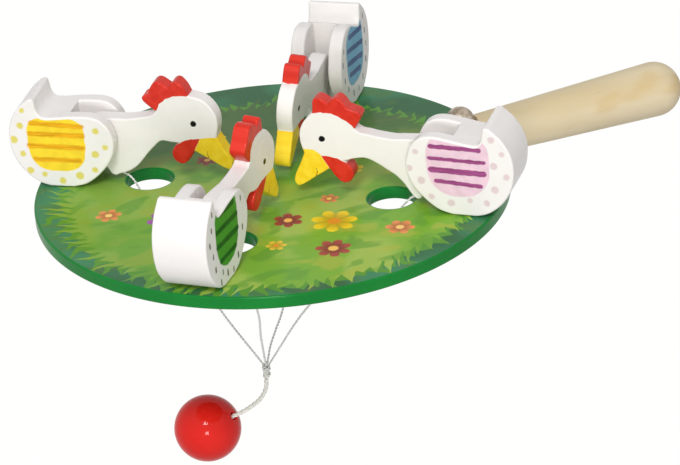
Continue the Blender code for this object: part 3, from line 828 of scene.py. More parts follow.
# %% Flowers
DAISIES = [
    # place (degrees, mm), size, petals, turn, petal colour, heart colour
    ((-80, 39), 8.2, 7, 0.3, (0.90, 0.66, 0.03), (0.78, 0.30, 0.02)),
    ((-103, 30), 5.4, 6, 0.9, (0.36, 0.06, 0.04), (0.90, 0.50, 0.10)),
    ((-92, 57), 6.4, 7, 0.1, (0.42, 0.08, 0.05), (0.92, 0.55, 0.12)),
    ((-66, 60), 5.2, 6, 0.6, (0.86, 0.30, 0.10), (0.95, 0.62, 0.20)),
    ((-60, 25), 3.4, 6, 0.2, (0.85, 0.28, 0.08), (0.92, 0.62, 0.10)),
    ((-112, 48), 3.6, 6, 0.4, (0.88, 0.62, 0.05), (0.80, 0.32, 0.03)),
    ((188, 43), 7.6, 7, 0.7, (0.36, 0.10, 0.40), (0.92, 0.55, 0.14)),
    ((172, 60), 4.6, 6, 0.2, (0.86, 0.32, 0.10), (0.93, 0.66, 0.18)),
    ((96, 48), 6.8, 7, 0.5, (0.88, 0.64, 0.04), (0.78, 0.30, 0.02)),
    ((112, 33), 4.2, 6, 0.0, (0.40, 0.08, 0.05), (0.90, 0.50, 0.10)),
    ((4, 46), 7.4, 7, 0.4, (0.38, 0.10, 0.42), (0.92, 0.55, 0.14)),
    ((-8, 30), 4.0, 6, 0.1, (0.88, 0.62, 0.05), (0.80, 0.32, 0.03)),
]
for daisy in DAISIES:
    picture = meadow.daisy(picture, *daisy)
meadow.colour(picture)
meadow.rough(meadow.step(brush, 0.3, 0.7, 0.20, 0.32))
meadow.bump(meadow.noise(meadow.point, 0.7, 3.0), 0.00004)
print("the meadow has", len(meadow.nodes), "nodes")

# %% Put the paints on the board
# a face is flat if its normal is this near an axis, and on the surface within this margin
FLAT = 0.99
SURFACE_MARGIN = 0.05 * MM

board.data.materials.clear()
board.data.materials.append(edge_green.material)
board.data.materials.append(meadow.material)
for polygon in board.data.polygons:
    flat_top = polygon.normal.z > FLAT and polygon.center.z > half - SURFACE_MARGIN
    polygon.material_index = 1 if flat_top else 0
adopt(board, "board", "board_paint", "board")

# %% [markdown]
# ## The handle
# A plain turned stick that grows thicker from the board to its round end. A saw cut in
# its nose takes the board, and a domed screw closes it. It is spun along its own axis,
# and the cut and the screw's flat seat are taken out with Booleans. The straight part
# has rings all along it: a Boolean spoils the shading of the faces that it cuts, and
# short faces keep that close to the cut.

# %% Handle shape
HANDLE_START, HANDLE_END = 67 * MM, 164.8 * MM
HANDLE_SLIM_RADIUS, HANDLE_FAT_RADIUS = 7.6 * MM, 10.2 * MM
HANDLE_NOSE_LENGTH, HANDLE_END_LENGTH = 5 * MM, 10.3 * MM
HANDLE_EDGE = 0.25 * MM
END_RINGS, BODY_RINGS, NOSE_RINGS = 20, 16, 10
SCREW_DISTANCE = 75 * MM
SCREW_SEAT_HEIGHT = 6.0 * MM
SCREW_SEAT_DEPTH = 5 * MM
SCREW_SEAT_MARGIN = 1 * MM
SCREW_DOME_RADIUS = 5.3 * MM
JAW_GAP = 0.1 * MM


def quarter(index, count):
    """The angle of one of count steps through a quarter turn."""
    return math.pi / 2 * index / count


profile = [
    (HANDLE_FAT_RADIUS * math.sin(angle), HANDLE_END - HANDLE_END_LENGTH * (1 - math.cos(angle)))
    for angle in (quarter(ring, END_RINGS) for ring in range(END_RINGS))
]
body_top, body_bottom = HANDLE_END - HANDLE_END_LENGTH, HANDLE_START + HANDLE_NOSE_LENGTH
profile += [
    (
        HANDLE_FAT_RADIUS + (HANDLE_SLIM_RADIUS - HANDLE_FAT_RADIUS) * ring / BODY_RINGS,
        body_top + (body_bottom - body_top) * ring / BODY_RINGS,
    )
    for ring in range(BODY_RINGS + 1)
]
profile += [
    (HANDLE_SLIM_RADIUS * math.cos(angle), body_bottom - HANDLE_NOSE_LENGTH * math.sin(angle))
    for angle in (quarter(ring, NOSE_RINGS) for ring in range(1, NOSE_RINGS))
]
profile.append((0, HANDLE_START))
along_handle = Matrix.Translation(BOARD_CENTRE) @ turn(90, "Y")
handle = spun("turned_handle", profile, along_handle, steps=72)
board_place = Matrix.Translation(BOARD_CENTRE)
seat_place = Matrix.Translation(BOARD_CENTRE + Vector((SCREW_DISTANCE, 0, 0)))
seat_radius, seat_top = SCREW_DOME_RADIUS + SCREW_SEAT_MARGIN, SCREW_SEAT_HEIGHT + SCREW_SEAT_DEPTH
cutters = [
    cylinder("jaw", BOARD_RADIUS + GAP, -half - JAW_GAP, half + JAW_GAP, board_place, sides=192),
    cylinder("seat", seat_radius, SCREW_SEAT_HEIGHT, seat_top, seat_place, sides=64),
]
cut(handle, *cutters)
round_edges(handle, HANDLE_EDGE, segments=2)
handle = settle(handle)
throw_away(*cutters)
print("handle mesh:", len(handle.data.polygons), "faces")

# %% [markdown]
# ## Bare wood
# The handle is pale wood with no paint. Its look is a stack of noises stretched along
# the handle: a slow one for light and dark growth, a finer one for the grain, short
# flecks, and a few warm stains where hands have been. Stretching happens on the
# coordinates, before the noise reads them, so one kind of node gives all four.

# %% Handle wood
wood = Finish("handle_beech", coat_weight=0.1, coat_roughness=0.3, specular_ior_level=0.3)
grain_place = wood.vector("MULTIPLY", wood.place(), (14.0, 220.0, 220.0))
grain = wood.noise(grain_place, 1.0, 4.0, 0.6, 0.6)
long_grain = wood.noise(wood.vector("MULTIPLY", wood.place(), (9.0, 60.0, 60.0)), 1.0, 2.0, 0.5, 0.4)
stains = wood.noise(wood.vector("MULTIPLY", wood.place(), (35.0, 80.0, 80.0)), 1.0, 2.0)
flecks = wood.noise(wood.vector("MULTIPLY", wood.place(), (160.0, 1400.0, 1400.0)), 1.0, 2.0)
tone = wood.mix(wood.step(long_grain, 0.35, 0.65), (0.64, 0.52, 0.31), (0.72, 0.61, 0.41))
tone = wood.mix(wood.step(stains, 0.54, 0.68, 0.0, 0.5), tone, (0.62, 0.43, 0.17))
tone = wood.mix(wood.step(grain, 0.5, 0.8, 0.0, 0.22), tone, (0.58, 0.42, 0.21))
tone = wood.mix(wood.step(flecks, 0.64, 0.74, 0.0, 0.14), tone, (0.45, 0.30, 0.14))
wood.colour(tone)
wood.rough(wood.step(grain, 0.3, 0.7, 0.42, 0.58))
wood.bump(wood.math("ADD", grain, wood.math("MULTIPLY", flecks, 0.5)), 0.00005)
handle.data.materials.append(wood.material)
adopt(handle, "board", "handle_wood", "handle")

# %% [markdown]
# ## The domed screw
# A brass screw with a smooth round head, gone dull with age. It is spun from a quarter
# circle, a short rim and the shank. The metal is a mirror that noise makes duller and
# darker in patches, because clean brass would look too new here.

# %% Domed screw
SCREW_DOME_RIM = 1.4 * MM
SCREW_RIM_ROUND = 0.3 * MM
SCREW_SHANK_RADIUS = 1.8 * MM
SCREW_SHANK_BOTTOM = -5.2 * MM
SCREW_TIP = 1 * MM
DOME_RINGS = 20

head_bottom = SCREW_SEAT_HEIGHT + GAP
dome_middle = head_bottom + SCREW_DOME_RIM
profile = [
    (SCREW_DOME_RADIUS * math.sin(angle), dome_middle + SCREW_DOME_RADIUS * math.cos(angle))
    for angle in (quarter(ring, DOME_RINGS) for ring in range(DOME_RINGS + 1))
]
profile += [
    (SCREW_DOME_RADIUS, head_bottom + SCREW_RIM_ROUND),
    (SCREW_DOME_RADIUS - SCREW_RIM_ROUND, head_bottom),
    (SCREW_SHANK_RADIUS, head_bottom),
    (SCREW_SHANK_RADIUS, SCREW_SHANK_BOTTOM + SCREW_TIP),
    (0, SCREW_SHANK_BOTTOM),
]
dome = spun("domed_screw", profile, seat_place, steps=64)

# %% Aged brass
brass = Finish("aged_brass", metallic=1.0)
tarnish = brass.noise(brass.place(), 420.0, 4.0, 0.65)
brass.colour(brass.mix(brass.step(tarnish, 0.35, 0.65), (0.28, 0.225, 0.165), (0.56, 0.48, 0.38)))
brass.rough(brass.step(tarnish, 0.3, 0.7, 0.5, 0.3))
brass.bump(brass.noise(brass.place(), 900.0, 3.0), 0.00004)
dome.data.materials.append(brass.material)
adopt(dome, "board", "antique_brass", "handle_screw")

# %% [markdown]
# ## The hens' bodies
# A body is two rounded boards with a tail block between them, glued, sanded and
# painted white so that no joint shows: one thick board with a slot for the neck. The
# outline is a smooth curve with a few true corners, so it is written as a short list
# of points. Each point of the mesh also keeps its place on the drawing as a UV, which
# the painted wings and faces read.

# %% Outlines
SHARP = True
BODY_WIDTH, SLOT_WIDTH, NECK_THICKNESS = 19.6, 9.2, 6.0
BLOCK_FRONT = 70.8
NECK_END_RADIUS = 6.0

# A body runs down the back and round to the breast, over the shoulder and up the tail
BACK_TO_BREAST = [
    (84.9, 34.4, SHARP), (89.4, 30.2), (92.6, 24.4), (93.4, 18.0), (92.0, 11.0), (88.2, 5.2), (83.4, 1.5),
    (79.6, 0.3, SHARP), (BLOCK_FRONT, 0.3, SHARP), (66.0, 1.7), (60.8, 5.6), (56.1, 11.6), (54.4, 17.8),
]
SHOULDER = [(55.7, 23.2), (58.9, 26.9), (62.6, 28.1), (66.8, 28.2), (BLOCK_FRONT, 28.0), (78.0, 27.3)]
OWN_SHOULDERS = {
    "pink": [(55.4, 22.8), (57.4, 26.8), (60.4, 29.1), (64.6, 29.8), (BLOCK_FRONT, 28.9), (78.0, 27.6)],
    "blue": [(56.0, 24.0), (58.6, 29.2), (62.6, 32.0), (66.8, 32.5), (BLOCK_FRONT, 31.7), (77.2, 28.8)],
}
TAIL = [(80.6, 27.6), (81.7, 28.8), (82.3, 30.6), (82.6, 32.6), (82.9, 34.4, SHARP)]

# A neck runs forward along its top, over the comb, down the face and back to the heel
NECK_TOP = [(50.2, 24.5), (48.0, 24.3), (42.0, 24.9), (38.2, 25.6)]
COMB = [
    (36.0, 27.2, SHARP), (39.2, 30.3), (40.5, 32.3), (40.0, 33.3), (37.9, 33.9, SHARP), (36.6, 36.4),
    (35.0, 38.3), (33.1, 38.7), (29.6, 36.1, SHARP), (28.4, 37.9), (26.4, 38.7), (24.9, 37.4), (23.6, 35.2),
    (22.9, 32.9, SHARP), (20.4, 32.3),
]
OWN_COMBS = {
    "pink": [
        (36.0, 25.9), (34.0, 27.2, SHARP), (35.8, 30.2), (36.7, 32.4), (36.0, 33.5), (34.0, 34.1),
        (31.5, 35.0, SHARP), (30.2, 37.2), (28.1, 38.6), (26.4, 37.7), (24.9, 36.2, SHARP), (22.8, 37.6),
        (20.9, 38.1), (19.4, 37.2), (19.1, 34.6), (18.9, 32.3, SHARP),
    ],
    "blue": [
        (36.0, 27.2, SHARP), (38.2, 30.3), (39.4, 32.3), (38.8, 33.3), (36.8, 33.9, SHARP), (35.2, 36.2),
        (33.6, 37.9), (31.5, 38.3), (28.2, 35.9, SHARP), (26.8, 37.6), (24.8, 38.4), (23.3, 37.1),
        (22.1, 34.9), (21.3, 32.4, SHARP), (19.4, 32.0),
    ],
    "green": [
        (36.4, 26.0), (35.0, 27.2, SHARP), (37.6, 29.6), (39.3, 31.9), (38.9, 33.6), (37.5, 35.2),
        (36.5, 37.6), (35.1, 39.8), (33.0, 40.6), (30.6, 40.0), (28.4, 38.4, SHARP), (27.6, 40.0),
        (26.3, 40.7), (25.1, 39.9), (24.3, 38.0), (24.0, 34.9, SHARP), (21.8, 34.1), (19.6, 32.8),
    ],
}
FACE = [
    (17.4, 30.8), (15.1, 28.0), (13.8, 24.6), (13.8, 21.0), (15.0, 16.6, SHARP), (13.2, 12.2), (11.1, 7.6),
    (10.9, 5.0), (12.4, 3.7), (18.9, 7.8), (24.1, 11.3, SHARP), (26.2, 8.3), (29.0, 6.2), (31.6, 7.1),
    (32.8, 9.7), (31.9, 12.4), (29.6, 14.5, SHARP),
]
UNDERSIDE = [
    (32.8, 15.0), (35.1, 15.5), (36.8, 15.1), (38.6, 13.6), (41.6, 10.9), (44.6, 7.7), (47.6, 5.0),
    (50.8, 3.3), (54.2, 2.4), (55.7, 1.8), (57.2, 2.5),
]
OWN_UNDERSIDES = {
    "pink": [
        (33.0, 15.7), (36.7, 16.3), (38.9, 15.9), (42.0, 14.4), (45.0, 12.5), (48.1, 10.5), (51.0, 7.6),
        (54.0, 3.2), (55.7, 1.8), (57.2, 2.5),
    ],
}
print("points of a body:", len(BACK_TO_BREAST + SHOULDER + TAIL))
print("points of a neck:", len(NECK_TOP + COMB + FACE + UNDERSIDE))


# %% From an outline to a board
def smooth_outline(points, step, closed=False):
    """Points along a curve through the given ones; SHARP ones are corners."""
    spots = [Vector(point[:2]) for point in points]
    sharp = [len(point) > 2 for point in points]
    count = len(spots)
    tangents = []
    for index in range(count):
        before = spots[index - 1] if closed or index else spots[index]
        after = spots[(index + 1) % count] if closed or index < count - 1 else spots[index]
        tangents.append((after - before).normalized())
    path = []
    for index in range(count if closed else count - 1):
        start, end = spots[index], spots[(index + 1) % count]
        chord = end - start
        leave = chord if sharp[index] else tangents[index] * chord.length
        arrive = chord if sharp[(index + 1) % count] else tangents[(index + 1) % count] * chord.length
        straight = leave == chord and arrive == chord
        pieces = 1 if straight else max(1, round(chord.length / step))
        for piece in range(pieces):
            path.append(between(start, leave, end, arrive, piece / pieces))
    if not closed:
        path.append(spots[-1])
    return path


def sawn_board(name, outline, width):
    """A board of the given width in millimetres, cut to an outline of (out, up)."""
    shape = bmesh.new()
    rows = [
        [shape.verts.new(Vector((point.x, across, point.y)) * MM) for point in outline]
        for across in (-width / 2, width / 2)
    ]
    for row in rows:
        shape.faces.new(row)
    count = len(outline)
    for index in range(count):
        after = (index + 1) % count
        shape.faces.new((rows[0][index], rows[0][after], rows[1][after], rows[1][index]))
    bmesh.ops.recalc_face_normals(shape, faces=shape.faces)
    piece = built(name, shape)
    piece.data.shade_smooth()
    return piece


def keep_drawing(piece, offset=(0.0, 0.0)):
    """Write each corner's place on the drawing to a UV map, before the piece is placed."""
    layer = piece.data.uv_layers.get("drawing") or piece.data.uv_layers.new(name="drawing")
    points = piece.data.vertices
    for loop in piece.data.loops:
        point = points[loop.vertex_index].co
        out, height = point.x / MM + offset[0], point.z / MM + offset[1]
        layer.data[loop.index].uv = (out / DRAWING_SIZE, height / DRAWING_SIZE)


# %% [markdown]
# ## White paint and wings
# All four hens share one white gloss paint. On each flat side the wing is a soft patch
# crossed by four brush strokes, with a ring of dots or dashes round it, every hen in
# its own colour. A brush stroke is the set of points near a line, so one small recipe
# draws strokes and dots alike, and a little noise makes their edges look hand-made.

# %% Brush strokes
class HenPaint(Finish):
    def __init__(self, name, coat=0.12, gloss=0.12):
        super().__init__(name, coat_weight=coat, coat_roughness=0.1, specular_ior_level=gloss)
        place = self.place()
        cloud = self.noise(place, 70.0, 3.0)
        self.ground = self.mix(self.step(cloud, 0.3, 0.7), (0.852, 0.816, 0.795), (0.882, 0.848, 0.826))
        self.rough(self.step(cloud, 0.3, 0.7, 0.24, 0.34))
        self.bump(self.noise(place, 150.0, 3.0), 0.00003)
        wobble = self.node("ShaderNodeTexNoise", {"Vector": place, "Scale": 420.0}, "Color")
        wobble = self.vector("SUBTRACT", wobble, (0.5, 0.5, 0.5))
        wobble = self.vector("MULTIPLY", wobble, (0.7, 0.7, 0.0))
        flat = self.vector("MULTIPLY", self.drawn(), (1.0, 1.0, 0.0))
        self.point = self.vector("ADD", flat, wobble)

    def stroke(self, start, end, radius, soft=0.25):
        """1 within a radius of the line from start to end, in millimetres on the drawing."""
        start, end = Vector((*start, 0)), Vector((*end, 0))
        along = end - start
        nearest = tuple(start)
        if along.length > 0:
            offset = self.vector("SUBTRACT", self.point, tuple(start))
            share = self.vector("DOT_PRODUCT", offset, tuple(along / along.length_squared))
            share = self.node("ShaderNodeClamp", {0: share})
            nearest = self.vector("ADD", self.vector("SCALE", tuple(along), share), tuple(start))
        distance = self.vector("DISTANCE", self.point, nearest)
        return self.step(distance, radius - soft, radius + soft, 1.0, 0.0)

    def over(self, mask, colour):
        self.ground = self.mix(mask, self.ground, colour)

    def done(self):
        self.colour(self.ground)
        return self.material


# %% Wing drawings
Wing = namedtuple(
    "Wing",
    "patch_colour stroke_colour mark_colour patch patch_top roundness "
    "strokes stroke_radii soft marks mark_size",
)
WINGS = {
    "pink": Wing(
        (0.82, 0.58, 0.68), (0.33, 0.075, 0.22), (0.74, 0.60, 0.61), (62.2, 84.8, 7.6), 32.0, 2.3,
        [((64.0, 26.3), (81.2, 26.0)), ((63.4, 21.8), (83.0, 21.3)),
         ((63.8, 17.4), (82.6, 17.0)), ((65.4, 13.2), (81.5, 12.2))], (0.85, 0.72, 1.1, 0.8), 0.2,
        [(58.5, 23.8), (55.9, 17.3), (60.0, 12.9), (63.4, 6.9), (70.4, 5.0), (77.2, 6.5), (83.3, 5.9),
         (86.4, 11.3), (90.7, 16.5), (86.4, 20.4), (89.4, 25.1), (85.8, 30.3)], (0.0, 1.25)),
    "yellow": Wing(
        (0.96, 0.68, 0.040), (0.80, 0.40, 0.016), (0.76, 0.66, 0.16), (65.0, 86.4, 6.6), 27.6, 3.0,
        [((65.8, 24.4), (84.4, 25.2)), ((65.8, 20.8), (85.4, 21.0)),
         ((66.2, 16.0), (86.0, 16.3)), ((67.6, 11.0), (84.2, 10.9))], (0.9, 0.95, 0.9, 0.85), 0.5,
        [(87.4, 30.1), (88.7, 23.9), (91.6, 18.4), (88.7, 12.9), (86.6, 6.4), (81.3, 5.0), (74.8, 2.8),
         (68.2, 5.0), (62.3, 7.6), (61.6, 13.7), (57.6, 16.6), (60.6, 22.9)], (0.0, 1.3)),
    "green": Wing(
        (0.070, 0.320, 0.032), (0.018, 0.125, 0.016), (0.085, 0.080, 0.045), (64.2, 84.2, 6.8), 32.0, 2.3,
        [((67.0, 26.0), (79.5, 27.0)), ((65.0, 20.6), (83.0, 22.0)),
         ((65.0, 15.2), (83.4, 16.6)), ((67.7, 10.0), (81.5, 10.6))], (0.95, 1.0, 1.05, 0.9), 0.35,
        [(85.6, 30.2), (87.2, 25.0), (89.6, 20.4), (87.4, 15.4), (86.4, 9.9), (80.6, 6.2), (82.6, 3.2),
         (76.5, 3.9), (71.3, 2.6), (66.3, 5.6), (60.3, 24.2), (60.7, 13.4)], (1.3, 0.5)),
    "blue": Wing(
        (0.130, 0.410, 0.600), (0.005, 0.070, 0.220), (0.150, 0.220, 0.230), (62.4, 84.4, 7.8), 31.0, 2.8,
        [((67.4, 27.8), (83.0, 25.2)), ((64.6, 23.4), (83.2, 19.6)),
         ((64.4, 18.4), (82.0, 14.8)), ((66.0, 13.4), (78.8, 10.9))], (1.0, 1.0, 1.05, 1.0), 0.25,
        [(59.4, 25.7), (57.4, 21.0), (58.7, 14.3), (62.4, 9.1), (68.6, 5.0), (75.4, 4.0), (81.6, 5.8),
         (86.8, 10.6), (88.4, 16.4), (87.6, 22.0), (86.4, 28.4)], (1.3, 0.55)),
}
print("marks on a wing:", {name: len(wing.marks) for name, wing in WINGS.items()})

# %% Wing paint
PATCH_MIDDLE = 19.0


def wing_paint(name, wing):
    """White paint with a patch, brush strokes along it and marks round it."""
    paint = HenPaint(name + "_wing_paint", coat=0.0, gloss=0.03)
    front, rear, bottom = wing.patch
    out, height, _ = paint.split(paint.point)
    across = paint.math("SUBTRACT", out, (front + rear) / 2)
    across = paint.math("DIVIDE", across, (rear - front) / 2)
    above = paint.math("MAXIMUM", paint.math("SUBTRACT", height, PATCH_MIDDLE), 0.0)
    below = paint.math("MAXIMUM", paint.math("SUBTRACT", PATCH_MIDDLE, height), 0.0)
    upper = paint.math("POWER", paint.math("DIVIDE", above, wing.patch_top - PATCH_MIDDLE), 4.0)
    lower = paint.math("POWER", paint.math("DIVIDE", below, PATCH_MIDDLE - bottom), wing.roundness)
    sides = paint.math("POWER", paint.math("ABSOLUTE", across), wing.roundness)
    shape = paint.math("ADD", sides, paint.math("ADD", upper, lower))
    cloud = paint.noise(paint.point, 0.25, 2.0)
    pale = tuple(min(1.0, channel * 1.06) for channel in wing.patch_colour)
    deep = tuple(channel * 0.94 for channel in wing.patch_colour)
    patch_colour = paint.mix(paint.step(cloud, 0.3, 0.7), deep, pale)
    paint.over(paint.step(shape, 0.94, 1.06, 1.0, 0.0), patch_colour)
    streak = paint.noise(paint.vector("MULTIPLY", paint.point, (0.12, 1.6, 1.0)), 1.0, 2.0)
    stroke_light = tuple(min(1.0, channel * 1.15) for channel in wing.stroke_colour)
    stroke_dark = tuple(channel * 0.85 for channel in wing.stroke_colour)
    stroke_colour = paint.mix(paint.step(streak, 0.35, 0.65), stroke_dark, stroke_light)
    for (start, end), radius in zip(wing.strokes, wing.stroke_radii):
        paint.over(paint.stroke(start, end, radius, wing.soft), stroke_colour)
    length, radius = wing.mark_size
    for index, (x, y) in enumerate(wing.marks):
        size = radius * (0.8 + 0.35 * ((index * 7) % 5) / 4)
        mark = paint.stroke((x, y - length / 2), (x, y + length / 2), size, 0.4)
        paint.over(mark, wing.mark_colour)
    return paint.done()


plain_white = HenPaint("hen_white").done()
wing_paints = {name: wing_paint(name, wing) for name, wing in WINGS.items()}
print("wing paints:", sorted(wing_paints))

# %% [markdown]
# ## Four bodies
# Each body is cut to its own outline, gets its slot and has its edges sanded round. The
# wing could be a decal laid on the side, but a second material on the flat faces needs
# no more shapes. A face gets it only if it is flat and at the side, so the slot, the
# round edges and the back stay white.

# %% Hen bodies
BODY_EDGE = 0.8 * MM
OUTLINE_STEP = 1.2
# the slot runs from well in front of the breast to the tail block, and right through
SLOT_CORNERS = [(40, -10), (BLOCK_FRONT, -10), (BLOCK_FRONT, 50), (40, 50)]

for name, hen in HENS.items():
    shoulder = OWN_SHOULDERS.get(name, SHOULDER)
    outline = smooth_outline(BACK_TO_BREAST + shoulder + TAIL, OUTLINE_STEP, closed=True)
    body = sawn_board(name + "_body", outline, BODY_WIDTH)
    slot = sawn_board("slot", [Vector(corner) for corner in SLOT_CORNERS], SLOT_WIDTH)
    cut(body, slot)
    round_edges(body, BODY_EDGE)
    body = settle(body)
    throw_away(slot)
    keep_drawing(body)
    body.data.materials.clear()
    body.data.materials.append(plain_white)
    body.data.materials.append(wing_paints[name])
    for polygon in body.data.polygons:
        at_side = abs(polygon.center.y) > BODY_WIDTH / 2 * MM - SURFACE_MARGIN
        polygon.material_index = 1 if at_side and abs(polygon.normal.y) > FLAT else 0
    body.data.transform(hen_frame(hen) @ shift(out=hen.body_out))
    solids = [f"{name}_{part}" for part in ("plate_left", "plate_right", "tail_block", "pin")]
    adopt(body, "board", "bird_paint", *solids)

# %% [markdown]
# ## Necks and faces
# A neck, a head, a comb, a beak and a wattle are all one sawn board, and only paint
# tells them apart. The colours meet along lines that run across the drawing, so the
# material asks of each point whether it lies above or below such a line. The paint
# follows the saw cut this way, on the flat sides and round the edges alike.

# %% Face paint
COMB_LINE = [
    (18.0, 34.0), (23.0, 33.0), (25.9, 33.2), (28.7, 33.0), (31.6, 32.0), (34.0, 30.2),
    (35.4, 27.7), (36.4, 27.3), (42.0, 27.3),
]
OWN_COMB_LINES = {
    "pink": [
        (17.0, 33.0), (18.9, 32.3), (22.0, 32.7), (25.7, 32.7), (28.1, 31.8), (31.2, 30.1),
        (33.4, 28.5), (34.2, 27.3), (40.0, 27.3),
    ],
    "blue": [
        (18.0, 33.0), (21.3, 32.5), (25.9, 33.0), (28.7, 32.8), (31.6, 31.8), (34.0, 30.0),
        (35.4, 27.7), (36.4, 27.3), (42.0, 27.3),
    ],
    "green": [
        (18.0, 35.5), (24.0, 35.0), (28.0, 35.3), (30.8, 34.8), (33.0, 33.2), (34.3, 31.4),
        (35.1, 27.4), (42.0, 27.3),
    ],
}
BEAK_LINE = [(10.0, 16.9), (15.0, 16.6), (21.3, 16.2), (30.0, 15.6)]
OWN_BEAK_LINES = {"pink": [(10.0, 18.5), (18.3, 18.3), (20.5, 17.1), (22.0, 15.7), (30.0, 15.6)]}
EYE, EYE_RADIUS = (22.7, 22.2), 1.13
OWN_EYES = {"pink": (21.9, 22.6)}
BEAK_CREASE = [((19.0, 8.0), (19.5, 10.0), 0.12), ((19.5, 10.0), (19.2, 11.2), 0.08)]
CREASE_BROWN, EYE_BLACK = (0.10, 0.055, 0.01), (0.006, 0.006, 0.006)
CHIN_LINE = [(20.0, 16.3), (24.8, 16.0), (27.2, 15.5), (29.5, 14.4), (35.0, 11.6)]
JAW_POINT, JAW_SIDE = (21.3, 16.2, 0.0), (0.868, 0.496, 0.0)


def face_paint(name, comb_line, beak_line, eye):
    face = HenPaint(name)
    out, height, _ = face.split(face.point)

    def over_line(points):
        """1 above a line through points of the drawing and 0 below it."""
        line = points[0][1]
        for (x0, y0), (x1, y1) in zip(points, points[1:]):
            rise = {"Value": out, "From Min": x0, "From Max": x1, "To Min": 0.0, "To Max": y1 - y0}
            line = face.math("ADD", line, face.node("ShaderNodeMapRange", rise))
        return face.step(face.math("SUBTRACT", height, line), -0.15, 0.15)

    def flip(mask):
        return face.math("SUBTRACT", 1.0, mask)

    jaw = face.vector("DOT_PRODUCT", face.vector("SUBTRACT", face.point, JAW_POINT), JAW_SIDE)
    behind_jaw = face.step(jaw, -0.15, 0.15)
    beak = face.math("MULTIPLY", flip(behind_jaw), flip(over_line(beak_line)))
    wattle = face.math("MULTIPLY", behind_jaw, flip(over_line(CHIN_LINE)))
    wattle = face.math("MULTIPLY", wattle, face.step(out, 34.0, 34.6, 1.0, 0.0))
    tint = face.noise(face.point, 0.3, 2.0)
    red = face.mix(face.step(tint, 0.3, 0.7), (0.62, 0.026, 0.014), (0.72, 0.040, 0.024))
    yellow = face.mix(face.step(tint, 0.3, 0.7), (0.93, 0.63, 0.020), (0.98, 0.72, 0.045))
    face.over(over_line(comb_line), red)
    face.over(wattle, red)
    face.over(beak, yellow)
    for start, end, radius in BEAK_CREASE:
        face.over(face.stroke(start, end, radius, 0.12), CREASE_BROWN)
    face.over(face.stroke(eye, eye, EYE_RADIUS, 0.16), EYE_BLACK)
    return face.done()


face_paints = {
    name: face_paint(
        name + "_head_paint",
        OWN_COMB_LINES.get(name, COMB_LINE),
        OWN_BEAK_LINES.get(name, BEAK_LINE),
        OWN_EYES.get(name, EYE),
    )
    for name in HENS
}
print("face paints:", sorted(face_paints))

# %% Hen necks
NECK_EDGE = 0.6 * MM
NECK_STEP = 1.0
ARC_START, ARC_END, ARC_STEPS = -25, 82, 16

pivot = Vector((PIVOT_OUT, PIVOT_UP))
arc = []
for index in range(ARC_STEPS + 1):
    angle = math.radians(ARC_START + (ARC_END - ARC_START) * index / ARC_STEPS)
    arc.append(pivot + NECK_END_RADIUS * Vector((math.cos(angle), math.sin(angle))))

for name, hen in HENS.items():
    comb = OWN_COMBS.get(name, COMB)
    underside = OWN_UNDERSIDES.get(name, UNDERSIDE)
    outline = smooth_outline(NECK_TOP + comb + FACE + underside, NECK_STEP) + arc
    neck = sawn_board(name + "_head", [point - pivot for point in outline], NECK_THICKNESS)
    round_edges(neck, NECK_EDGE)
    neck = settle(neck)
    keep_drawing(neck, pivot)
    neck.data.materials.clear()
    neck.data.materials.append(face_paints[name])
    neck.data.transform(neck_frame(hen))
    adopt(neck, f"{name}_head", "bird_paint", f"{name}_neck")

# %% [markdown]
# ## The screws below
# Each body is held by one countersunk screw from under the board. The four are alike,
# so one screw with a crossed slot is modelled once and a small node tree puts a copy
# at each hen, each turned a little further than the last, as a screwdriver leaves them.

# %% Countersunk screw
# radius and height above the board's top, from the tip in the body down to the head
SCREW_PROFILE = [(0, 8.2), (1.4, 6.2), (1.4, -2.8), (2.8, -4.5), (2.8, -4.75), (2.7, -4.8), (0, -4.8)]
CROSS_LENGTH, CROSS_WIDTH, CROSS_HEIGHT = 3.2 * MM, 0.62 * MM, 2.4 * MM
# a cylinder of four sides and this radius is one unit wide
UNIT_BOX_RADIUS = math.sqrt(0.5)

profile = [(radius * MM, height * MM) for radius, height in SCREW_PROFILE]
screw = spun("screw_shape", profile, Matrix(), steps=40)
slots = []
for angle in (0, 90):
    bar = cylinder("bar", UNIT_BOX_RADIUS, -0.5, 0.5, Matrix(), sides=4)
    bar.data.transform(turn(45, "Z"))
    size = Matrix.Diagonal((CROSS_LENGTH, CROSS_WIDTH, CROSS_HEIGHT, 1))
    bar.data.transform(shift(up=-BOARD_THICKNESS / MM) @ turn(angle, "Z") @ size)
    slots.append(bar)
cut(screw, *slots)
screw = settle(screw)
throw_away(*slots)
print("one screw:", len(screw.data.polygons), "faces")

# %% [markdown]
# ## Screw steel
# Plain steel with fine scratches. They could be drawn one by one, but one noise that is
# squeezed along an axis reads the same at this size. It drives the colour, the gloss and
# the bump together, because a real scratch changes all three in the same place.

# %% Screw steel
steel = Finish("screw_steel", metallic=1.0)
scratches = steel.noise(steel.vector("MULTIPLY", steel.place(), (900.0, 300.0, 300.0)), 1.0, 3.0)
steel.colour(steel.mix(steel.step(scratches, 0.3, 0.7), (0.36, 0.36, 0.37), (0.62, 0.62, 0.63)))
steel.rough(steel.step(scratches, 0.3, 0.7, 0.42, 0.26))
steel.bump(scratches, 0.00002)
print("screw steel:", len(steel.nodes), "nodes")


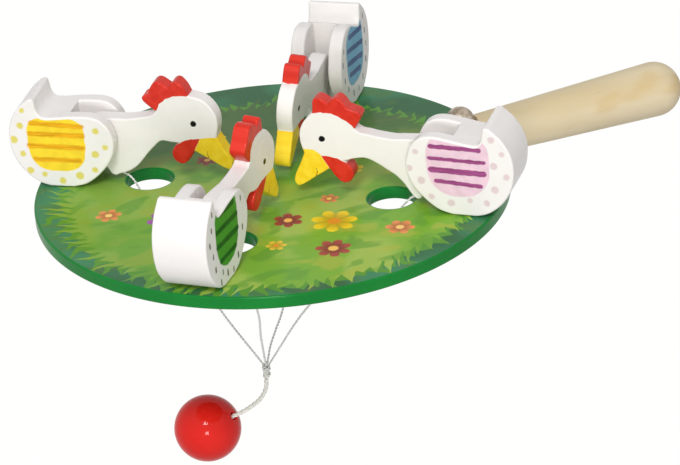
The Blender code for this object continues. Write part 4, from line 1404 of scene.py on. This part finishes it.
# %% Node tree that copies a screw
def copies_tree():
    tree = bpy.data.node_groups.new("screw_copies", "GeometryNodeTree")
    face_of = tree.interface
    face_of.new_socket("Places", in_out="INPUT", socket_type="NodeSocketGeometry")
    face_of.new_socket("Screw", in_out="INPUT", socket_type="NodeSocketObject")
    face_of.new_socket("Turn", in_out="INPUT", socket_type="NodeSocketFloat")
    face_of.new_socket("Steel", in_out="INPUT", socket_type="NodeSocketMaterial")
    face_of.new_socket("Screws", in_out="OUTPUT", socket_type="NodeSocketGeometry")
    new, link = tree.nodes.new, tree.links.new
    entry, leave = new("NodeGroupInput"), new("NodeGroupOutput")
    shape = new("GeometryNodeObjectInfo")
    link(entry.outputs["Screw"], shape.inputs["Object"])
    angle = new("ShaderNodeMath")
    angle.operation = "MULTIPLY"
    link(new("GeometryNodeInputIndex").outputs[0], angle.inputs[0])
    link(entry.outputs["Turn"], angle.inputs[1])
    rotation = new("ShaderNodeCombineXYZ")
    link(angle.outputs[0], rotation.inputs["Z"])
    copies = new("GeometryNodeInstanceOnPoints")
    link(entry.outputs["Places"], copies.inputs["Points"])
    link(shape.outputs["Geometry"], copies.inputs["Instance"])
    link(rotation.outputs[0], copies.inputs["Rotation"])
    real = new("GeometryNodeRealizeInstances")
    link(copies.outputs[0], real.inputs[0])
    finish = new("GeometryNodeSetMaterial")
    link(real.outputs[0], finish.inputs["Geometry"])
    link(entry.outputs["Steel"], finish.inputs["Material"])
    link(finish.outputs[0], leave.inputs[0])
    return tree


# %% Put a screw under each hen
SCREW_TURN = 1.1

screw_frames = [hen_frame(hen) @ shift(out=hen.body_out + BODY_SCREW_OUT) for hen in HENS.values()]
places = bpy.data.meshes.new("screw_places")
places.from_pydata([frame.translation for frame in screw_frames], [], [])
screws = bpy.data.objects.new("body_screws", places)
tree = copies_tree()
modifier = screws.modifiers.new("copies", "NODES")
modifier.node_group = tree
sockets = {item.name: item.identifier for item in tree.interface.items_tree}
modifier[sockets["Screw"]] = screw
modifier[sockets["Turn"]] = SCREW_TURN
modifier[sockets["Steel"]] = steel.material
screws = settle(screws)
throw_away(screw)
adopt(screws, "board", "steel", *(f"{name}_screw" for name in HENS))

# %% [markdown]
# ## The floor
# The toy is held in the air, so the floor lies well below the ball. It is one large
# square. A mix of plain paint and a white glow, which only the camera and mirror
# reflections see, makes the background white without more light on the toy.

# %% Floor
FLOOR_HEIGHT = -0.22
FLOOR_REACH = 6
floor_mesh = bpy.data.meshes.new("floor")
corners = [(side_x * FLOOR_REACH, side_y * FLOOR_REACH, FLOOR_HEIGHT)
           for side_x, side_y in ((-1, -1), (1, -1), (1, 1), (-1, 1))]
floor_mesh.from_pydata(corners, [], [(0, 1, 2, 3)])
floor = new_piece("floor", floor_mesh)
print("floor at", FLOOR_HEIGHT, "m")

# %% Floor finish
BACKGROUND_SHARE = 0.9
BACKGROUND_STRENGTH = 1.08


def background_rays(nodes, links):
    """1 for rays that show the background: from the camera, off shiny things, through glass."""
    rays = nodes.new("ShaderNodeLightPath")
    seen = rays.outputs["Is Camera Ray"]
    for ray in ("Is Glossy Ray", "Is Transmission Ray"):
        either = nodes.new("ShaderNodeMath")
        either.operation = "MAXIMUM"
        links.new(seen, either.inputs[0])
        links.new(rays.outputs[ray], either.inputs[1])
        seen = either.outputs[0]
    return seen


pale = Finish("pale_floor", base_color=(0.5, 0.5, 0.49), roughness=0.8)
white = pale.node("ShaderNodeEmission", {"Color": (1, 1, 0.985), "Strength": BACKGROUND_STRENGTH})
share = pale.math("MULTIPLY", background_rays(pale.nodes, pale.links), BACKGROUND_SHARE)
glow = pale.node("ShaderNodeMixShader", {0: share, 1: pale.shader.outputs[0], 2: white})
pale.links.new(glow, pale.nodes["Material Output"].inputs["Surface"])
floor_mesh.materials.append(pale.material)
print("floor finish:", len(pale.nodes), "nodes")

# %% [markdown]
# ## The light
# The world is bright in front and overhead and dimmer behind, so that sides turned away
# are a little grey. The camera and reflections see it as plain white instead. Two soft
# lamps near the camera add the small highlights on the ball and faint shadows. One
# strong lamp would make hard ones. All the strengths were set by comparing the hens'
# white sides with the photograph.

# %% World
IN_FRONT, BEHIND = 0.58, 0.24
world = bpy.data.worlds.new("studio")
scene.world = world
world.use_nodes = True
nodes, links = world.node_tree.nodes, world.node_tree.links
nodes["Background"].inputs["Color"].default_value = (1, 1, 1, 1)
toward_camera = nodes.new("ShaderNodeVectorMath")
toward_camera.operation = "DOT_PRODUCT"
links.new(nodes.new("ShaderNodeTexCoord").outputs["Generated"], toward_camera.inputs[0])
toward_camera.inputs[1].default_value = Vector((back.x, back.y, 0.9)).normalized()
glow = nodes.new("ShaderNodeMapRange")
glow.interpolation_type = "SMOOTHSTEP"
links.new(toward_camera.outputs["Value"], glow.inputs["Value"])
for socket, value in (("From Min", -0.5), ("From Max", 0.6), ("To Min", BEHIND), ("To Max", IN_FRONT)):
    glow.inputs[socket].default_value = value
level = nodes.new("ShaderNodeMath")
level.operation = "MAXIMUM"
links.new(glow.outputs[0], level.inputs[0])
links.new(background_rays(nodes, links), level.inputs[1])
links.new(level.outputs[0], nodes["Background"].inputs["Strength"])
print("world light:", BEHIND, "to", IN_FRONT)

# %% Lamps
LAMP_DISTANCE = 1.5
toy_centre = Vector((-0.11, 0, 0))


def lamp(name, angle_right, angle_up, size, power):
    """A square lamp seen from the toy at these angles from the camera."""
    across, rise = math.radians(angle_right), math.radians(angle_up)
    way = (back + right * math.tan(across) + up * math.tan(rise)).normalized()
    data = bpy.data.lights.new(name, "AREA")
    data.size = size
    data.energy = power
    made = bpy.data.objects.new(name, data)
    made.matrix_world = Matrix.Translation(toy_centre + way * LAMP_DISTANCE) @ (
        way.to_track_quat("Z", "Y").to_matrix().to_4x4()
    )
    scene.collection.objects.link(made)
    print(name, "at", [round(value, 2) for value in made.matrix_world.translation])


lamp("upper_lamp", angle_right=-8, angle_up=18, size=0.36, power=10.2)
lamp("lower_lamp", angle_right=-2, angle_up=-19, size=0.3, power=5.8)
scene.view_settings.view_transform = "Standard"
